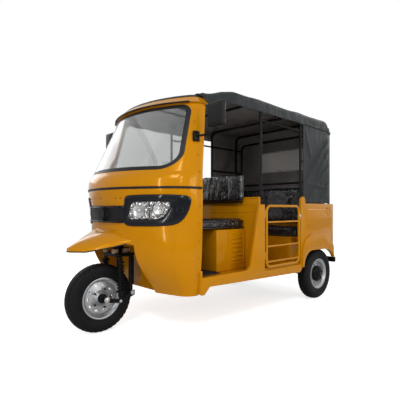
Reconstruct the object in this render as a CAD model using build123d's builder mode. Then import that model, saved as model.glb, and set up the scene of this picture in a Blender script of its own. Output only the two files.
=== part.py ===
from build123d import *
import os
from math import atan2, cos, radians, sin, sqrt, tan

os.makedirs("parts", exist_ok=True)

# Frame: millimetres, +Z up, ground at z = 0. The front looks along -Y and the left side is +X.
# Heights are above the ground. Lengths named ..._back are measured rearward from the front axle.

# Running gear
wheelbase = 1986.0
rear_track = 1060.0
tyre_radius = 240.0
tyre_width = 104.0
rim_radius = 139.0
body_end_back = 2205.0
bumper_back = 80.0
bumper_depth = 36.0
overall_length = tyre_radius + body_end_back + bumper_back + bumper_depth / 2
front_axle_y = tyre_radius - overall_length / 2
rear_axle_y = front_axle_y + wheelbase

# Body
body_half = 612.0
side_wall = 20.0
side_inner = body_half - side_wall
cab_wall = 12.0
skin_gap = 0.3
sill_bottom = 333.0
sill_top = 400.0
floor_top = 385.0
floor_thickness = 30.0
belt_height = 900.0
quarter_top = 916.0
body_end_y = front_axle_y + body_end_back
cab_rear_y = front_axle_y + 422.0
cab_roof_rear_y = front_axle_y + 522.0
cowl_top = 1110.0
screen_top = 1600.0
roof_top = 1664.0

# Wheel well under the nose
well_half = 300.0
well_back_y = front_axle_y + 305.0
well_top = 622.0

# Steering
rake = 20.0
steer_point_back = 170.0
steer_point_height = 600.0
steer_point_y = front_axle_y + steer_point_back
stem_radius = 22.0
head_radius = 36.0
head_clearance = 0.5

# Pillars and hoops of the canopy
tube_radius = 12.0
hoop_half = side_inner - tube_radius - skin_gap
bow_height = 1725.0
rail_height = bow_height - 85.0
mid_rail_height = 1302.0
rear_bar_height = 1151.0
pillar_rear_y = front_axle_y + 1100.0
hoop_front_y = pillar_rear_y - tube_radius - 1.0
hoop_gate_y = front_axle_y + 1661.0
hoop_rear_y = front_axle_y + 2069.0
hoop_last_y = body_end_y - side_wall - tube_radius - skin_gap
post_foot = belt_height - 60.0


def steer_y(height):
    """The y of the steering axis at a height."""
    return steer_point_y + (height - steer_point_height) * tan(radians(rake))


def steer_plane(height):
    """A plane square to the steering axis, where the axis has this height; its x is the part's x."""
    return Plane(
        origin=(0, steer_y(height), height),
        x_dir=(1, 0, 0),
        z_dir=(0, sin(radians(rake)), cos(radians(rake))),
    )


def plan_outline(front, half, bow, corner, rear, inset=0.0):
    """Plan outline of the cab: a bowed front, round corners and straight sides."""
    y_front = front_axle_y + front + inset
    x_side = half - inset
    big = bow - inset
    small = corner - inset
    bow_centre = y_front + big
    corner_y = bow_centre - sqrt((big - small) ** 2 - (x_side - small) ** 2)
    slope = (x_side - small) / (big - small)
    touch = (big * slope, bow_centre - big * sqrt(1 - slope**2))
    half_turn = (atan2(-sqrt(1 - slope**2), slope)) / 2
    crown = (x_side - small + small * cos(half_turn), corner_y + small * sin(half_turn))
    ThreePointArc((-touch[0], touch[1]), (0, y_front), touch)
    ThreePointArc(touch, crown, (x_side, corner_y))
    Polyline((x_side, corner_y), (x_side, rear), (-x_side, rear), (-x_side, corner_y))
    ThreePointArc((-x_side, corner_y), (-crown[0], crown[1]), (-touch[0], touch[1]))


# Cab sections: height, front edge behind the front axle, half width, bow radius, corner radius, rear
cab_lower = [
    (280.0, 240.0, 572.0, 1600.0, 100.0, cab_rear_y),
    (410.0, 140.0, 592.0, 1100.0, 130.0, cab_rear_y),
    (620.0, 35.0, 607.0, 800.0, 200.0, cab_rear_y),
    (belt_height, 15.0, body_half, 750.0, 220.0, cab_rear_y),
    (cowl_top - 30.0, 10.0, 611.0, 750.0, 220.0, cab_rear_y),
    (cowl_top, 30.0, 610.0, 750.0, 220.0, cab_rear_y),
]
cab_upper = [
    (cowl_top, 30.0, 610.0, 750.0, 220.0, cab_rear_y),
    (screen_top, 280.0, 532.0, 900.0, 90.0, cab_roof_rear_y),
]
cab_cap = [
    (screen_top, 255.0, 545.0, 900.0, 90.0, cab_roof_rear_y + 20.0),
    (roof_top, 330.0, 490.0, 900.0, 90.0, cab_roof_rear_y + 20.0),
]


def cab_form(sections, inset=0.0, open_rear=0.0, ruled=False):
    """The body lofted through cab sections, inset all round and reaching past the rear."""
    with BuildPart() as form:
        for height, front, half, bow, corner, rear in sections:
            with BuildSketch(Plane.XY.offset(height)):
                with BuildLine():
                    plan_outline(front, half, bow, corner, rear + open_rear, inset)
                make_face()
        loft(ruled=ruled)
    return form.part


# Cab shell
lower_form = cab_form(cab_lower)
upper_form = cab_form(cab_upper, ruled=True)

screen_bottom = cowl_top + 10.0
screen_head = screen_top - 12.0
screen_foot_half = 562.0
screen_head_half = 506.0
screen_foot_corner = 112.0
screen_head_corner = 74.0


def screen_outline(grow=0.0):
    """Front view of the windscreen: wider at the foot, with round corners."""
    Polyline(
        (-screen_foot_half - grow, screen_bottom - grow),
        (screen_foot_half + grow, screen_bottom - grow),
        (screen_head_half + grow, screen_head + grow),
        (-screen_head_half - grow, screen_head + grow),
        close=True,
    )


front_view = Plane(origin=(0, front_axle_y - 200.0, 0), x_dir=(-1, 0, 0), z_dir=(0, 1, 0))


def screen_prism(grow=0.0):
    """The windscreen's outline carried through the cab's front."""
    with BuildPart() as prism:
        with BuildSketch(front_view) as sketch:
            with BuildLine():
                screen_outline(grow)
            make_face()
            fillet(sketch.vertices().sort_by(Axis.Y)[:2], screen_foot_corner + grow)
            fillet(sketch.vertices().sort_by(Axis.Y)[-2:], screen_head_corner + grow)
        extrude(amount=200.0 + 520.0)
    return prism.part


with BuildPart() as cab_shell:
    add(lower_form)
    add(upper_form)
    add(cab_form(cab_lower, cab_wall, 60.0), mode=Mode.SUBTRACT)
    add(cab_form(cab_upper, cab_wall, 60.0, ruled=True), mode=Mode.SUBTRACT)
    with BuildPart(mode=Mode.PRIVATE) as nose_block:
        with BuildSketch(Plane.XY.offset(280.0)):
            with Locations((0, well_back_y)):
                Rectangle(2 * (well_half + cab_wall), 2 * cab_wall + 800.0)
        extrude(amount=well_top + cab_wall - 280.0)
        add(lower_form, mode=Mode.INTERSECT)
        with BuildSketch(Plane.XY.offset(280.0)):
            with Locations((0, well_back_y + cab_wall + 300.0)):
                Rectangle(2000.0, 600.0)
        extrude(amount=1000.0, mode=Mode.SUBTRACT)
    add(nose_block.part)
    with BuildSketch(Plane.XY.offset(200.0)):
        with Locations((0, well_back_y - 400.0)):
            Rectangle(2 * well_half, 800.0)
    extrude(amount=well_top - 200.0, mode=Mode.SUBTRACT)
    add(screen_prism(), mode=Mode.SUBTRACT)
    with BuildSketch(steer_plane(well_top)):
        Circle(stem_radius + 12.0)
    extrude(amount=60.0, both=True, mode=Mode.SUBTRACT)
cab_shell.part.label = "cab_shell"
export_step(cab_shell.part, "parts/cab_shell.step")

# Cab roof
with BuildPart() as cab_roof:
    add(cab_form(cab_cap, ruled=True))
    add(cab_form([(screen_top - 1.0,) + cab_cap[0][1:], (roof_top - cab_wall,) + cab_cap[1][1:]],
                 2 * cab_wall, 0.0, ruled=True), mode=Mode.SUBTRACT)
cab_roof.part.label = "cab_roof"
export_step(cab_roof.part, "parts/cab_roof.step")

# Windscreen and its rubber seal
glass_thickness = 5.0
seal_width = 26.0
with BuildPart() as windscreen:
    add(upper_form)
    add(cab_form(cab_upper, glass_thickness, 60.0, ruled=True), mode=Mode.SUBTRACT)
    add(screen_prism(-seal_width - skin_gap), mode=Mode.INTERSECT)
windscreen.part.label = "windscreen"
export_step(windscreen.part, "parts/windscreen.step")

with BuildPart() as windscreen_seal:
    add(upper_form)
    add(cab_form(cab_upper, cab_wall, 60.0, ruled=True), mode=Mode.SUBTRACT)
    add(screen_prism(-skin_gap), mode=Mode.INTERSECT)
    add(screen_prism(-seal_width), mode=Mode.SUBTRACT)
windscreen_seal.part.label = "windscreen_seal"
export_step(windscreen_seal.part, "parts/windscreen_seal.step")

# Body sides: the sill, the pillar, the rear quarter with its wheel arch
pillar_front_y = front_axle_y + 930.0
gate_end_y = front_axle_y + 1620.0
arch_front_y = front_axle_y + 1650.0
arch_crown = 486.0
post_height = 976.0
sill_rear_bottom = 302.0
cab_foot = 285.0


def side_profile():
    """Side view of one body side, y along the part and z up."""
    Polyline(
        (cab_rear_y + skin_gap, cab_foot),
        (cab_rear_y + 25.0, cab_foot),
        (cab_rear_y + 75.0, sill_bottom),
        (arch_front_y - 40.0, sill_rear_bottom),
        (arch_front_y, arch_crown - 140.0),
    )
    arch_edge()
    Polyline((body_end_y, arch_crown - 100.0), (body_end_y, quarter_top), (gate_end_y + 75.0, quarter_top))
    Polyline((gate_end_y + 75.0, quarter_top), (gate_end_y + 70.0, post_height - 30.0))
    ThreePointArc(
        (gate_end_y + 70.0, post_height - 30.0),
        (gate_end_y + 35.0, post_height),
        (gate_end_y, post_height - 30.0),
    )
    Polyline(
        (gate_end_y, post_height - 30.0),
        (gate_end_y, floor_top - 13.0),
        (pillar_rear_y, floor_top - 13.0),
        (pillar_rear_y, belt_height),
        (pillar_rear_y - 70.0, belt_height),
        (pillar_front_y, sill_top + 60.0),
    )
    ThreePointArc(
        (pillar_front_y, sill_top + 60.0),
        (pillar_front_y - 18.0, sill_top + 18.0),
        (pillar_front_y - 60.0, sill_top),
    )
    Polyline(
        (pillar_front_y - 60.0, sill_top),
        (cab_rear_y + skin_gap, sill_top),
        (cab_rear_y + skin_gap, cab_foot),
    )


def arch_edge():
    """The wheel opening's edge, from its front foot over the wheel to the body's end."""
    front = (arch_front_y, arch_crown - 140.0)
    rise = (arch_front_y + 150.0, arch_crown)
    fall = (body_end_y - 190.0, arch_crown - 4.0)
    ThreePointArc(front, (arch_front_y + 46.0, arch_crown - 38.0), rise)
    Line(rise, fall)
    ThreePointArc(fall, (body_end_y - 70.0, arch_crown - 36.0), (body_end_y, arch_crown - 100.0))


def arch_flare():
    """Side view of the raised band round the wheel opening."""
    arch_edge()
    top = arch_crown + 150.0
    foot = (arch_front_y - 22.0, arch_crown - 140.0)
    shoulder = (arch_front_y - 22.0, arch_crown)
    rise = (arch_front_y + 140.0, top)
    fall = (body_end_y - 240.0, top)
    rear = (body_end_y - 14.0, arch_crown)
    Polyline((arch_front_y, arch_crown - 140.0), foot, shoulder)
    ThreePointArc(shoulder, (arch_front_y + 40.0, top - 44.0), rise)
    Line(rise, fall)
    ThreePointArc(fall, (body_end_y - 90.0, top - 52.0), rear)
    Polyline(rear, (body_end_y - 14.0, arch_crown - 60.0), (body_end_y, arch_crown - 100.0))


flare_rise = 18.0
panel_rise = 5.0
quarter_panel = [
    (gate_end_y + 90.0, 862.0),
    (body_end_y - 60.0, 862.0),
    (body_end_y - 26.0, 820.0),
    (body_end_y - 26.0, 738.0),
    (gate_end_y + 150.0, 700.0),
    (gate_end_y + 90.0, 730.0),
]
for side, name in ((1, "body_side_left"), (-1, "body_side_right")):
    with BuildPart() as body_side:
        with BuildSketch(Plane.YZ.offset(side * (body_half - side_wall / 2))):
            with BuildLine():
                side_profile()
            make_face()
        extrude(amount=side_wall / 2, both=True)
        outward = Vector(side, 0, 0)
        skin = Plane(origin=(side * body_half, 0, 0), x_dir=(0, 1, 0), z_dir=(1, 0, 0))
        with BuildPart(mode=Mode.PRIVATE) as flare:
            with BuildSketch(skin):
                with BuildLine():
                    arch_flare()
                make_face()
            extrude(amount=flare_rise, dir=outward)
        add(flare.part)
        with BuildPart(mode=Mode.PRIVATE) as panel:
            with BuildSketch(skin) as panel_view:
                with BuildLine():
                    Polyline(*quarter_panel, close=True)
                make_face()
                fillet(panel_view.vertices(), 18.0)
            extrude(amount=panel_rise, dir=outward)
            rim = panel.faces().sort_by(Axis.X)[-1 if side > 0 else 0]
            chamfer(rim.outer_wire().edges(), panel_rise * 0.7)
        add(panel.part)
    body_side.part.label = name
    export_step(body_side.part, "parts/" + name + ".step")

# Rear panel
rear_panel_bottom = 470.0
with BuildPart() as rear_panel:
    with BuildSketch(Plane.XY.offset(rear_panel_bottom)):
        with Locations((0, body_end_y - side_wall / 2)):
            Rectangle(2 * side_inner, side_wall)
    extrude(amount=quarter_top - rear_panel_bottom)
rear_panel.part.label = "rear_panel"
export_step(rear_panel.part, "parts/rear_panel.step")

# Floor, mat and chassis
floor_front_y = well_back_y + cab_wall
floor_rear_y = front_axle_y + 1700.0
with BuildPart() as floor_pan:
    with BuildSketch(Plane.XY.offset(floor_top - floor_thickness)):
        with BuildLine():
            plan_outline(182.0, 582.0, 1300.0, 117.0, cab_rear_y, cab_wall + 4.0)
        make_face()
        with Locations((0, (floor_front_y + cab_rear_y) / 2)):
            Rectangle(2 * body_half, cab_rear_y - floor_front_y, mode=Mode.INTERSECT)
        with Locations((0, (cab_rear_y + floor_rear_y) / 2)):
            Rectangle(2 * side_inner, floor_rear_y - cab_rear_y)
    extrude(amount=floor_thickness)
floor_pan.part.label = "floor_pan"
export_step(floor_pan.part, "parts/floor_pan.step")

mat_thickness = 6.0
partition_y = front_axle_y + 1062.0
partition_wall = 16.0
cover_front_y = front_axle_y + 720.0
with BuildPart() as floor_mat:
    with BuildSketch(Plane.XY.offset(floor_top)):
        with Locations((0, (floor_front_y + cover_front_y) / 2)):
            Rectangle(2 * (body_half - 120.0), cover_front_y - floor_front_y - 12.0)
    extrude(amount=mat_thickness)
floor_mat.part.label = "floor_mat"
export_step(floor_mat.part, "parts/floor_mat.step")

rail_x = 250.0
rail_width = 40.0
rail_depth = 58.0
chassis_top = floor_top - floor_thickness
chassis_end_y = body_end_y - 4.0
with BuildPart() as chassis_rails:
    for x in (-rail_x, rail_x):
        with BuildSketch(Plane.XY.offset(chassis_top - rail_depth)):
            with Locations((x, (floor_front_y + chassis_end_y) / 2)):
                Rectangle(rail_width, chassis_end_y - floor_front_y)
        extrude(amount=rail_depth)
chassis_rails.part.label = "chassis_rails"
export_step(chassis_rails.part, "parts/chassis_rails.step")

cross_members = (400.0, 700.0, 1120.0, 1500.0, 2150.0)
with BuildPart() as chassis_cross_members:
    for back in cross_members:
        with BuildSketch(Plane.XY.offset(chassis_top - rail_depth + 12.0)):
            with Locations((0, front_axle_y + back)):
                Rectangle(2 * rail_x - rail_width, 36.0)
        extrude(amount=rail_depth - 12.0)
chassis_cross_members.part.label = "chassis_cross_members"
export_step(chassis_cross_members.part, "parts/chassis_cross_members.step")

# Partition behind the driver
partition_top = 955.0
with BuildPart() as partition:
    with BuildSketch(Plane.XY.offset(floor_top)):
        with Locations((0, partition_y)):
            Rectangle(2 * side_inner, partition_wall)
    extrude(amount=partition_top - floor_top)
partition.part.label = "partition"
export_step(partition.part, "parts/partition.step")

# Engine cover and engine
cover_half = 450.0
cover_top = 705.0
cover_rear_y = partition_y - partition_wall / 2
with BuildPart() as engine_cover:
    with BuildSketch(Plane.XY.offset(floor_top)):
        with Locations((0, (cover_front_y + cover_rear_y) / 2)):
            Rectangle(2 * cover_half, cover_rear_y - cover_front_y)
    extrude(amount=cover_top - floor_top)
    with BuildSketch(Plane.XY.offset(floor_top)):
        with Locations((0, (cover_front_y + cover_rear_y) / 2)):
            Rectangle(2 * (cover_half - 10.0), cover_rear_y - cover_front_y - 20.0)
    extrude(amount=cover_top - floor_top - 10.0, mode=Mode.SUBTRACT)
engine_cover.part.label = "engine_cover"
export_step(engine_cover.part, "parts/engine_cover.step")

with BuildPart() as engine_block:
    with BuildSketch(Plane.XY.offset(floor_top)):
        with Locations((0, (cover_front_y + cover_rear_y) / 2)):
            Rectangle(320.0, 250.0)
    extrude(amount=270.0)
engine_block.part.label = "engine_block"
export_step(engine_block.part, "parts/engine_block.step")

# Seats
seat_gap = 0.3
with BuildPart() as driver_cushion:
    with BuildSketch(Plane.XY.offset(cover_top + seat_gap)):
        with Locations((0, (front_axle_y + 560.0 + cover_rear_y - 2.0) / 2)):
            RectangleRounded(2 * cover_half, cover_rear_y - 2.0 - front_axle_y - 560.0, 40.0)
    extrude(amount=80.0)
driver_cushion.part.label = "driver_cushion"
export_step(driver_cushion.part, "parts/driver_cushion.step")

with BuildPart() as driver_backrest:
    with BuildSketch(Plane.XZ.offset(-(partition_y - partition_wall / 2 - seat_gap))):
        with Locations((0, 1040.0)):
            RectangleRounded(2 * cover_half, 220.0, 40.0)
    extrude(amount=60.0)
driver_backrest.part.label = "driver_backrest"
export_step(driver_backrest.part, "parts/driver_backrest.step")

bench_front_y = front_axle_y + 1660.0
bench_half = 462.0
bench_top = 610.0
bench_rear_y = body_end_y - side_wall
with BuildPart() as bench_base:
    with BuildSketch(Plane.XY.offset(floor_top)):
        with Locations((0, bench_front_y + 6.0)):
            Rectangle(2 * bench_half, 12.0)
    extrude(amount=bench_top - floor_top)
    with BuildSketch(Plane.XY.offset(bench_top - 12.0)):
        with Locations((0, (bench_front_y + bench_rear_y) / 2)):
            Rectangle(2 * side_inner, bench_rear_y - bench_front_y)
    extrude(amount=12.0)
    for x in (-bench_half, bench_half):
        with BuildSketch(Plane.XY.offset(floor_top)):
            with Locations((x, (bench_front_y + bench_rear_y) / 2)):
                Rectangle(12.0, bench_rear_y - bench_front_y)
        extrude(amount=bench_top - floor_top)
bench_base.part.label = "bench_base"
export_step(bench_base.part, "parts/bench_base.step")

with BuildPart() as bench_cushion:
    with BuildSketch(Plane.XY.offset(bench_top + seat_gap)):
        with Locations((0, (bench_front_y - 30.0 + bench_rear_y - 90.0) / 2)):
            RectangleRounded(1120.0, bench_rear_y - 90.0 - bench_front_y + 30.0, 40.0)
    extrude(amount=80.0)
bench_cushion.part.label = "bench_cushion"
export_step(bench_cushion.part, "parts/bench_cushion.step")

with BuildPart() as bench_backrest:
    with BuildSketch(Plane.XY.offset(bench_top + 110.0)):
        with Locations((0, bench_rear_y - seat_gap - 38.0)):
            RectangleRounded(1120.0, 76.0, 30.0)
    extrude(amount=380.0)
bench_backrest.part.label = "bench_backrest"
export_step(bench_backrest.part, "parts/bench_backrest.step")

# Canopy hoops of round tube, one solid each, and the straight rails between them
hoops = [
    (hoop_front_y, bow_height),
    (hoop_gate_y, bow_height),
    (hoop_rear_y, bow_height),
    (hoop_last_y, rail_height),
]
hoop_corner = 60.0
with BuildPart() as canopy_hoops:
    for hoop_y, crown in hoops:
        with BuildLine():
            hoop = FilletPolyline(
                (-hoop_half, hoop_y, post_foot),
                (-hoop_half, hoop_y, crown),
                (hoop_half, hoop_y, crown),
                (hoop_half, hoop_y, post_foot),
                radius=hoop_corner,
            )
        with BuildSketch(Plane(origin=hoop @ 0, z_dir=hoop % 0)):
            Circle(tube_radius)
        sweep(path=hoop)
canopy_hoops.part.label = "canopy_hoops"
export_step(canopy_hoops.part, "parts/canopy_hoops.step")

# Rails: height, first hoop and last hoop of each
rail_radius = 9.0
rail_spans = [
    (rail_height - hoop_corner - rail_radius, hoop_front_y, hoop_gate_y),
    (rail_height - hoop_corner - rail_radius, hoop_gate_y, hoop_rear_y),
    (rail_height - hoop_corner - rail_radius, hoop_rear_y, hoop_last_y),
    (mid_rail_height, hoop_gate_y, hoop_rear_y),
    (mid_rail_height, hoop_rear_y, hoop_last_y),
]
with BuildPart() as canopy_rails:
    for x in (-hoop_half, hoop_half):
        for height, start, end in rail_spans:
            with BuildSketch(Plane.XZ.offset(-(start + tube_radius + skin_gap))):
                with Locations((x, height)):
                    Circle(rail_radius)
            extrude(amount=-(end - start - 2 * (tube_radius + skin_gap)))
    with BuildSketch(Plane.YZ.offset(-hoop_half + tube_radius + skin_gap)):
        with Locations((hoop_last_y, rear_bar_height)):
            Circle(rail_radius)
    extrude(amount=2 * (hoop_half - tube_radius - skin_gap))
canopy_rails.part.label = "canopy_rails"
export_step(canopy_rails.part, "parts/canopy_rails.step")

# Canopy cover
cloth = 8.0
cover_outer = hoop_half + tube_radius + skin_gap + cloth
cover_shoulder = bow_height + tube_radius + skin_gap + cloth
cover_crown = cover_shoulder + 26.0
cover_edge = rail_height - 8.0
cover_start_y = front_axle_y + 500.0
cover_full_y = front_axle_y + 800.0
cover_nose_half = 562.0
cover_nose_shoulder = roof_top + 20.0
cover_nose_crown = cover_nose_shoulder + 12.0
curtain_start_y = gate_end_y + 80.0
window_height = 1400.0
window_width = 600.0
window_depth = 220.0
cover_end_y = hoop_last_y + tube_radius + skin_gap + cloth
curtain_bottom = quarter_top + 4.0
slope_y = hoop_rear_y + 36.0
slope_height = rail_height + tube_radius + 14.0


def cover_section(half, shoulder, crown, foot):
    """Arched cross-section of the canopy, x across and z up."""
    Polyline((-half, shoulder - 45.0), (-half, foot), (half, foot), (half, shoulder - 45.0))
    ThreePointArc((half, shoulder - 45.0), (half - 12.0, shoulder - 14.0), (half - 45.0, shoulder))
    ThreePointArc((half - 45.0, shoulder), (0, crown), (-half + 45.0, shoulder))
    ThreePointArc((-half + 45.0, shoulder), (-half + 12.0, shoulder - 14.0), (-half, shoulder - 45.0))


def cover_form(inset, end, reach=0.0):
    """The canopy's volume: arched, narrowing to the cab roof, with a sloped rear top corner."""
    with BuildPart() as form:
        with BuildSketch(Plane.XZ.offset(-cover_start_y + reach)):
            with BuildLine():
                cover_section(cover_nose_half - inset, cover_nose_shoulder - inset,
                              cover_nose_crown - inset, cover_edge - reach)
            make_face()
        with BuildSketch(Plane.XZ.offset(-cover_full_y)):
            with BuildLine():
                cover_section(cover_outer - inset, cover_shoulder - inset,
                              cover_crown - inset, cover_edge - reach)
            make_face()
        loft(ruled=True)
        with BuildSketch(Plane.XZ.offset(-cover_full_y)):
            with BuildLine():
                cover_section(cover_outer - inset, cover_shoulder - inset,
                              cover_crown - inset, curtain_bottom - reach)
            make_face()
        extrude(amount=-(end - cover_full_y))
        with BuildSketch(Plane.YZ.offset(-1000.0)):
            with BuildLine():
                Polyline(
                    (slope_y - 0.6 * inset, cover_crown + 5.0),
                    (cover_end_y - inset, slope_height - 0.6 * inset),
                    (cover_end_y + 200.0, slope_height - 0.6 * inset),
                    (cover_end_y + 200.0, cover_crown + 5.0),
                    close=True,
                )
            make_face()
        extrude(amount=2000.0, mode=Mode.SUBTRACT)
    return form.part


with BuildPart() as canopy_cover:
    add(cover_form(0.0, cover_end_y))
    add(cover_form(cloth, cover_end_y - cloth, 10.0), mode=Mode.SUBTRACT)
    with BuildSketch(Plane.XY.offset(curtain_bottom - 20.0)):
        with Locations((0, (cover_start_y + curtain_start_y) / 2)):
            Rectangle(2000.0, curtain_start_y - cover_start_y + 40.0)
    extrude(amount=cover_edge - curtain_bottom + 20.0, mode=Mode.SUBTRACT)
    with BuildSketch(Plane.XZ.offset(-(cover_end_y + 20.0))):
        with Locations((0, window_height)):
            RectangleRounded(window_width, window_depth, 30.0)
    extrude(amount=100.0, mode=Mode.SUBTRACT)
canopy_cover.part.label = "canopy_cover"
export_step(canopy_cover.part, "parts/canopy_cover.step")

with BuildPart() as rear_window:
    with BuildSketch(Plane.XZ.offset(-(cover_end_y - 2.0))):
        with Locations((0, window_height)):
            RectangleRounded(window_width - 2 * skin_gap, window_depth - 2 * skin_gap, 30.0 - skin_gap)
    extrude(amount=3.0)
rear_window.part.label = "rear_window"
export_step(rear_window.part, "parts/rear_window.step")

# Front fender: a wide beak over the wheel, its root inside the nose
# Sections: distance back, half width, lower edge, crown
fender_sections = [
    (-223.0, 18.0, 577.0, 606.0),
    (-150.0, 104.0, 577.0, 646.0),
    (-40.0, 196.0, 600.0, 690.0),
    (60.0, 272.0, 628.0, 727.0),
    (125.0, 306.0, 645.0, 748.0),
]
fender_wall = 5.0
fender_lip = 20.0


def fender_form(inset):
    """The beak's volume: an arched top over a short upright lip."""
    with BuildPart() as form:
        for back, half, edge, crown in fender_sections:
            with BuildSketch(Plane.XZ.offset(-(front_axle_y + back + inset))):
                with BuildLine():
                    side = half - inset
                    low = edge - 2 * inset
                    top = edge + fender_lip - inset
                    Polyline((side, top), (side, low), (-side, low), (-side, top))
                    ThreePointArc((-side, top), (0, crown - inset), (side, top))
                make_face()
        loft(ruled=True)
    return form.part


with BuildPart() as front_fender:
    add(fender_form(0.0))
    add(fender_form(fender_wall), mode=Mode.SUBTRACT)
    add(lower_form, mode=Mode.SUBTRACT)
    with BuildSketch(Plane.XY.offset(500.0)):
        with Locations((0, front_axle_y + 300.0)):
            Rectangle(800.0, 340.0)
    extrude(amount=400.0, mode=Mode.SUBTRACT)
front_fender.part.label = "front_fender"
export_step(front_fender.part, "parts/front_fender.step")

# Steering head tube
head_foot = well_top + cab_wall + head_radius * sin(radians(rake)) + skin_gap
with BuildPart() as steering_head:
    with BuildSketch(steer_plane(head_foot)):
        Circle(head_radius)
        Circle(stem_radius + head_clearance, mode=Mode.SUBTRACT)
    extrude(amount=130.0)
steering_head.part.label = "steering_head"
export_step(steering_head.part, "parts/steering_head.step")

# Fork: stem, crown, legs
crown_height = 548.0
crown_thickness = 22.0
leg_x = 86.0
leg_y = front_axle_y + 200.0
leg_radius = 15.0
link_pivot_height = 262.0
pivot_radius = 7.0
with BuildPart() as fork_stem:
    with BuildSketch(steer_plane(crown_height)):
        Circle(stem_radius)
    extrude(amount=500.0)
    with BuildSketch(Plane.XY.offset(crown_height - crown_thickness)):
        with Locations((0, front_axle_y + 150.0)):
            RectangleRounded(2 * (leg_x + 22.0), 150.0, 20.0)
    extrude(amount=crown_thickness)
    for x in (-leg_x, leg_x):
        with BuildSketch(Plane.XY.offset(link_pivot_height - 20.0)):
            with Locations((x, leg_y)):
                Circle(leg_radius)
        extrude(amount=crown_height - crown_thickness - link_pivot_height + 20.0 + 5.0)
    with BuildSketch(Plane.YZ.offset(-leg_x - leg_radius - 5.0)):
        with Locations((leg_y, link_pivot_height)):
            Circle(pivot_radius + skin_gap)
    extrude(amount=2 * (leg_x + leg_radius + 5.0), mode=Mode.SUBTRACT)
fork_stem.part.label = "fork_stem"
export_step(fork_stem.part, "parts/fork_stem.step")

# Handlebar on the stem
bar_height = 1000.0
with BuildPart() as handlebar:
    with BuildLine():
        bar = FilletPolyline(
            (-330.0, steer_y(bar_height) + 60.0, bar_height + 25.0),
            (-150.0, steer_y(bar_height), bar_height + 40.0),
            (150.0, steer_y(bar_height), bar_height + 40.0),
            (330.0, steer_y(bar_height) + 60.0, bar_height + 25.0),
            radius=60.0,
        )
    with BuildSketch(Plane(origin=bar @ 0, z_dir=bar % 0)):
        Circle(11.0)
    sweep(path=bar)
    with BuildSketch(steer_plane(bar_height + 2.0)):
        Circle(30.0)
    extrude(amount=50.0)
    with BuildSketch(steer_plane(bar_height)):
        Circle(stem_radius + skin_gap)
    extrude(amount=200.0, both=True, mode=Mode.SUBTRACT)
handlebar.part.label = "handlebar"
export_step(handlebar.part, "parts/handlebar.step")

# Leading links from the legs to the axle
link_x = leg_x + leg_radius + 5.5
link_thickness = 10.0
shock_y = front_axle_y + 105.0
shock_foot = 235.0
shock_head = crown_height - crown_thickness
with BuildPart() as fork_links:
    for x in (-link_x, link_x):
        with BuildSketch(Plane.YZ.offset(x - link_thickness / 2)):
            with BuildLine():
                Polyline(
                    (front_axle_y - 16.0, tyre_radius - 16.0),
                    (shock_y, shock_foot - 34.0),
                    (leg_y + 20.0, link_pivot_height - 18.0),
                    (leg_y + 20.0, link_pivot_height + 18.0),
                    (shock_y + 24.0, shock_foot),
                    (shock_y - 24.0, shock_foot),
                    (front_axle_y - 16.0, tyre_radius + 16.0),
                    close=True,
                )
            make_face()
        extrude(amount=link_thickness)
    for x in (-link_x, leg_x - leg_radius + 1.0):
        with BuildSketch(Plane.YZ.offset(x)):
            with Locations((leg_y, link_pivot_height)):
                Circle(pivot_radius)
        extrude(amount=link_x - leg_x + leg_radius - 1.0)
    with BuildSketch(Plane.YZ.offset(-link_x - 12.0)):
        with Locations((front_axle_y, tyre_radius)):
            Circle(9.0)
    extrude(amount=2 * link_x + 24.0)
fork_links.part.label = "fork_links"
export_step(fork_links.part, "parts/fork_links.step")

with BuildPart() as fork_shocks:
    for x in (-link_x, link_x):
        with BuildSketch(Plane.XY.offset(shock_foot + 0.3)):
            with Locations((x, shock_y)):
                Circle(20.0)
        extrude(amount=shock_head - shock_foot - 0.6)
fork_shocks.part.label = "fork_shocks"
export_step(fork_shocks.part, "parts/fork_shocks.step")

# Wheels: tyre, then rim with its disc and hub
hub_radius = 36.0
axle_hole = 9.3


def wheel_tyre():
    """A tyre about the x axis at the origin."""
    half = tyre_width / 2
    with BuildPart() as tyre:
        with BuildSketch(Plane.XY):
            with BuildLine():
                Polyline(
                    (-half + 14.0, rim_radius + 1.0),
                    (half - 14.0, rim_radius + 1.0),
                    (half, rim_radius + 40.0),
                    (half - 4.0, tyre_radius - 22.0),
                )
                ThreePointArc(
                    (half - 4.0, tyre_radius - 22.0),
                    (0, tyre_radius),
                    (-half + 4.0, tyre_radius - 22.0),
                )
                Polyline(
                    (-half + 4.0, tyre_radius - 22.0),
                    (-half, rim_radius + 40.0),
                    (-half + 14.0, rim_radius + 1.0),
                )
            make_face()
        revolve(axis=Axis.X)
    return tyre.part


def wheel_rim(axle_radius, hub_half):
    """A pressed rim with its disc and hub about the x axis at the origin."""
    half = tyre_width / 2 - 6.0
    with BuildPart() as rim:
        with BuildSketch(Plane.XY):
            with BuildLine():
                Polyline(
                    (-half, rim_radius),
                    (half, rim_radius),
                    (half, rim_radius - 6.0),
                    (half - 14.0, rim_radius - 20.0),
                    (12.0, rim_radius - 28.0),
                    (20.0, hub_radius + 20.0),
                    (hub_half, hub_radius),
                    (hub_half, axle_radius),
                    (-hub_half, axle_radius),
                    (-hub_half, hub_radius),
                    (0.0, hub_radius + 12.0),
                    (-2.0, rim_radius - 34.0),
                    (-half + 14.0, rim_radius - 20.0),
                    (-half, rim_radius - 6.0),
                    close=True,
                )
            make_face()
        revolve(axis=Axis.X)
        with BuildSketch(Plane.YZ.offset(-half)):
            with PolarLocations(rim_radius - 48.0, 10):
                SlotOverall(26.0, 12.0, rotation=90.0)
        extrude(amount=2 * half, mode=Mode.SUBTRACT)
    return rim.part


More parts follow.
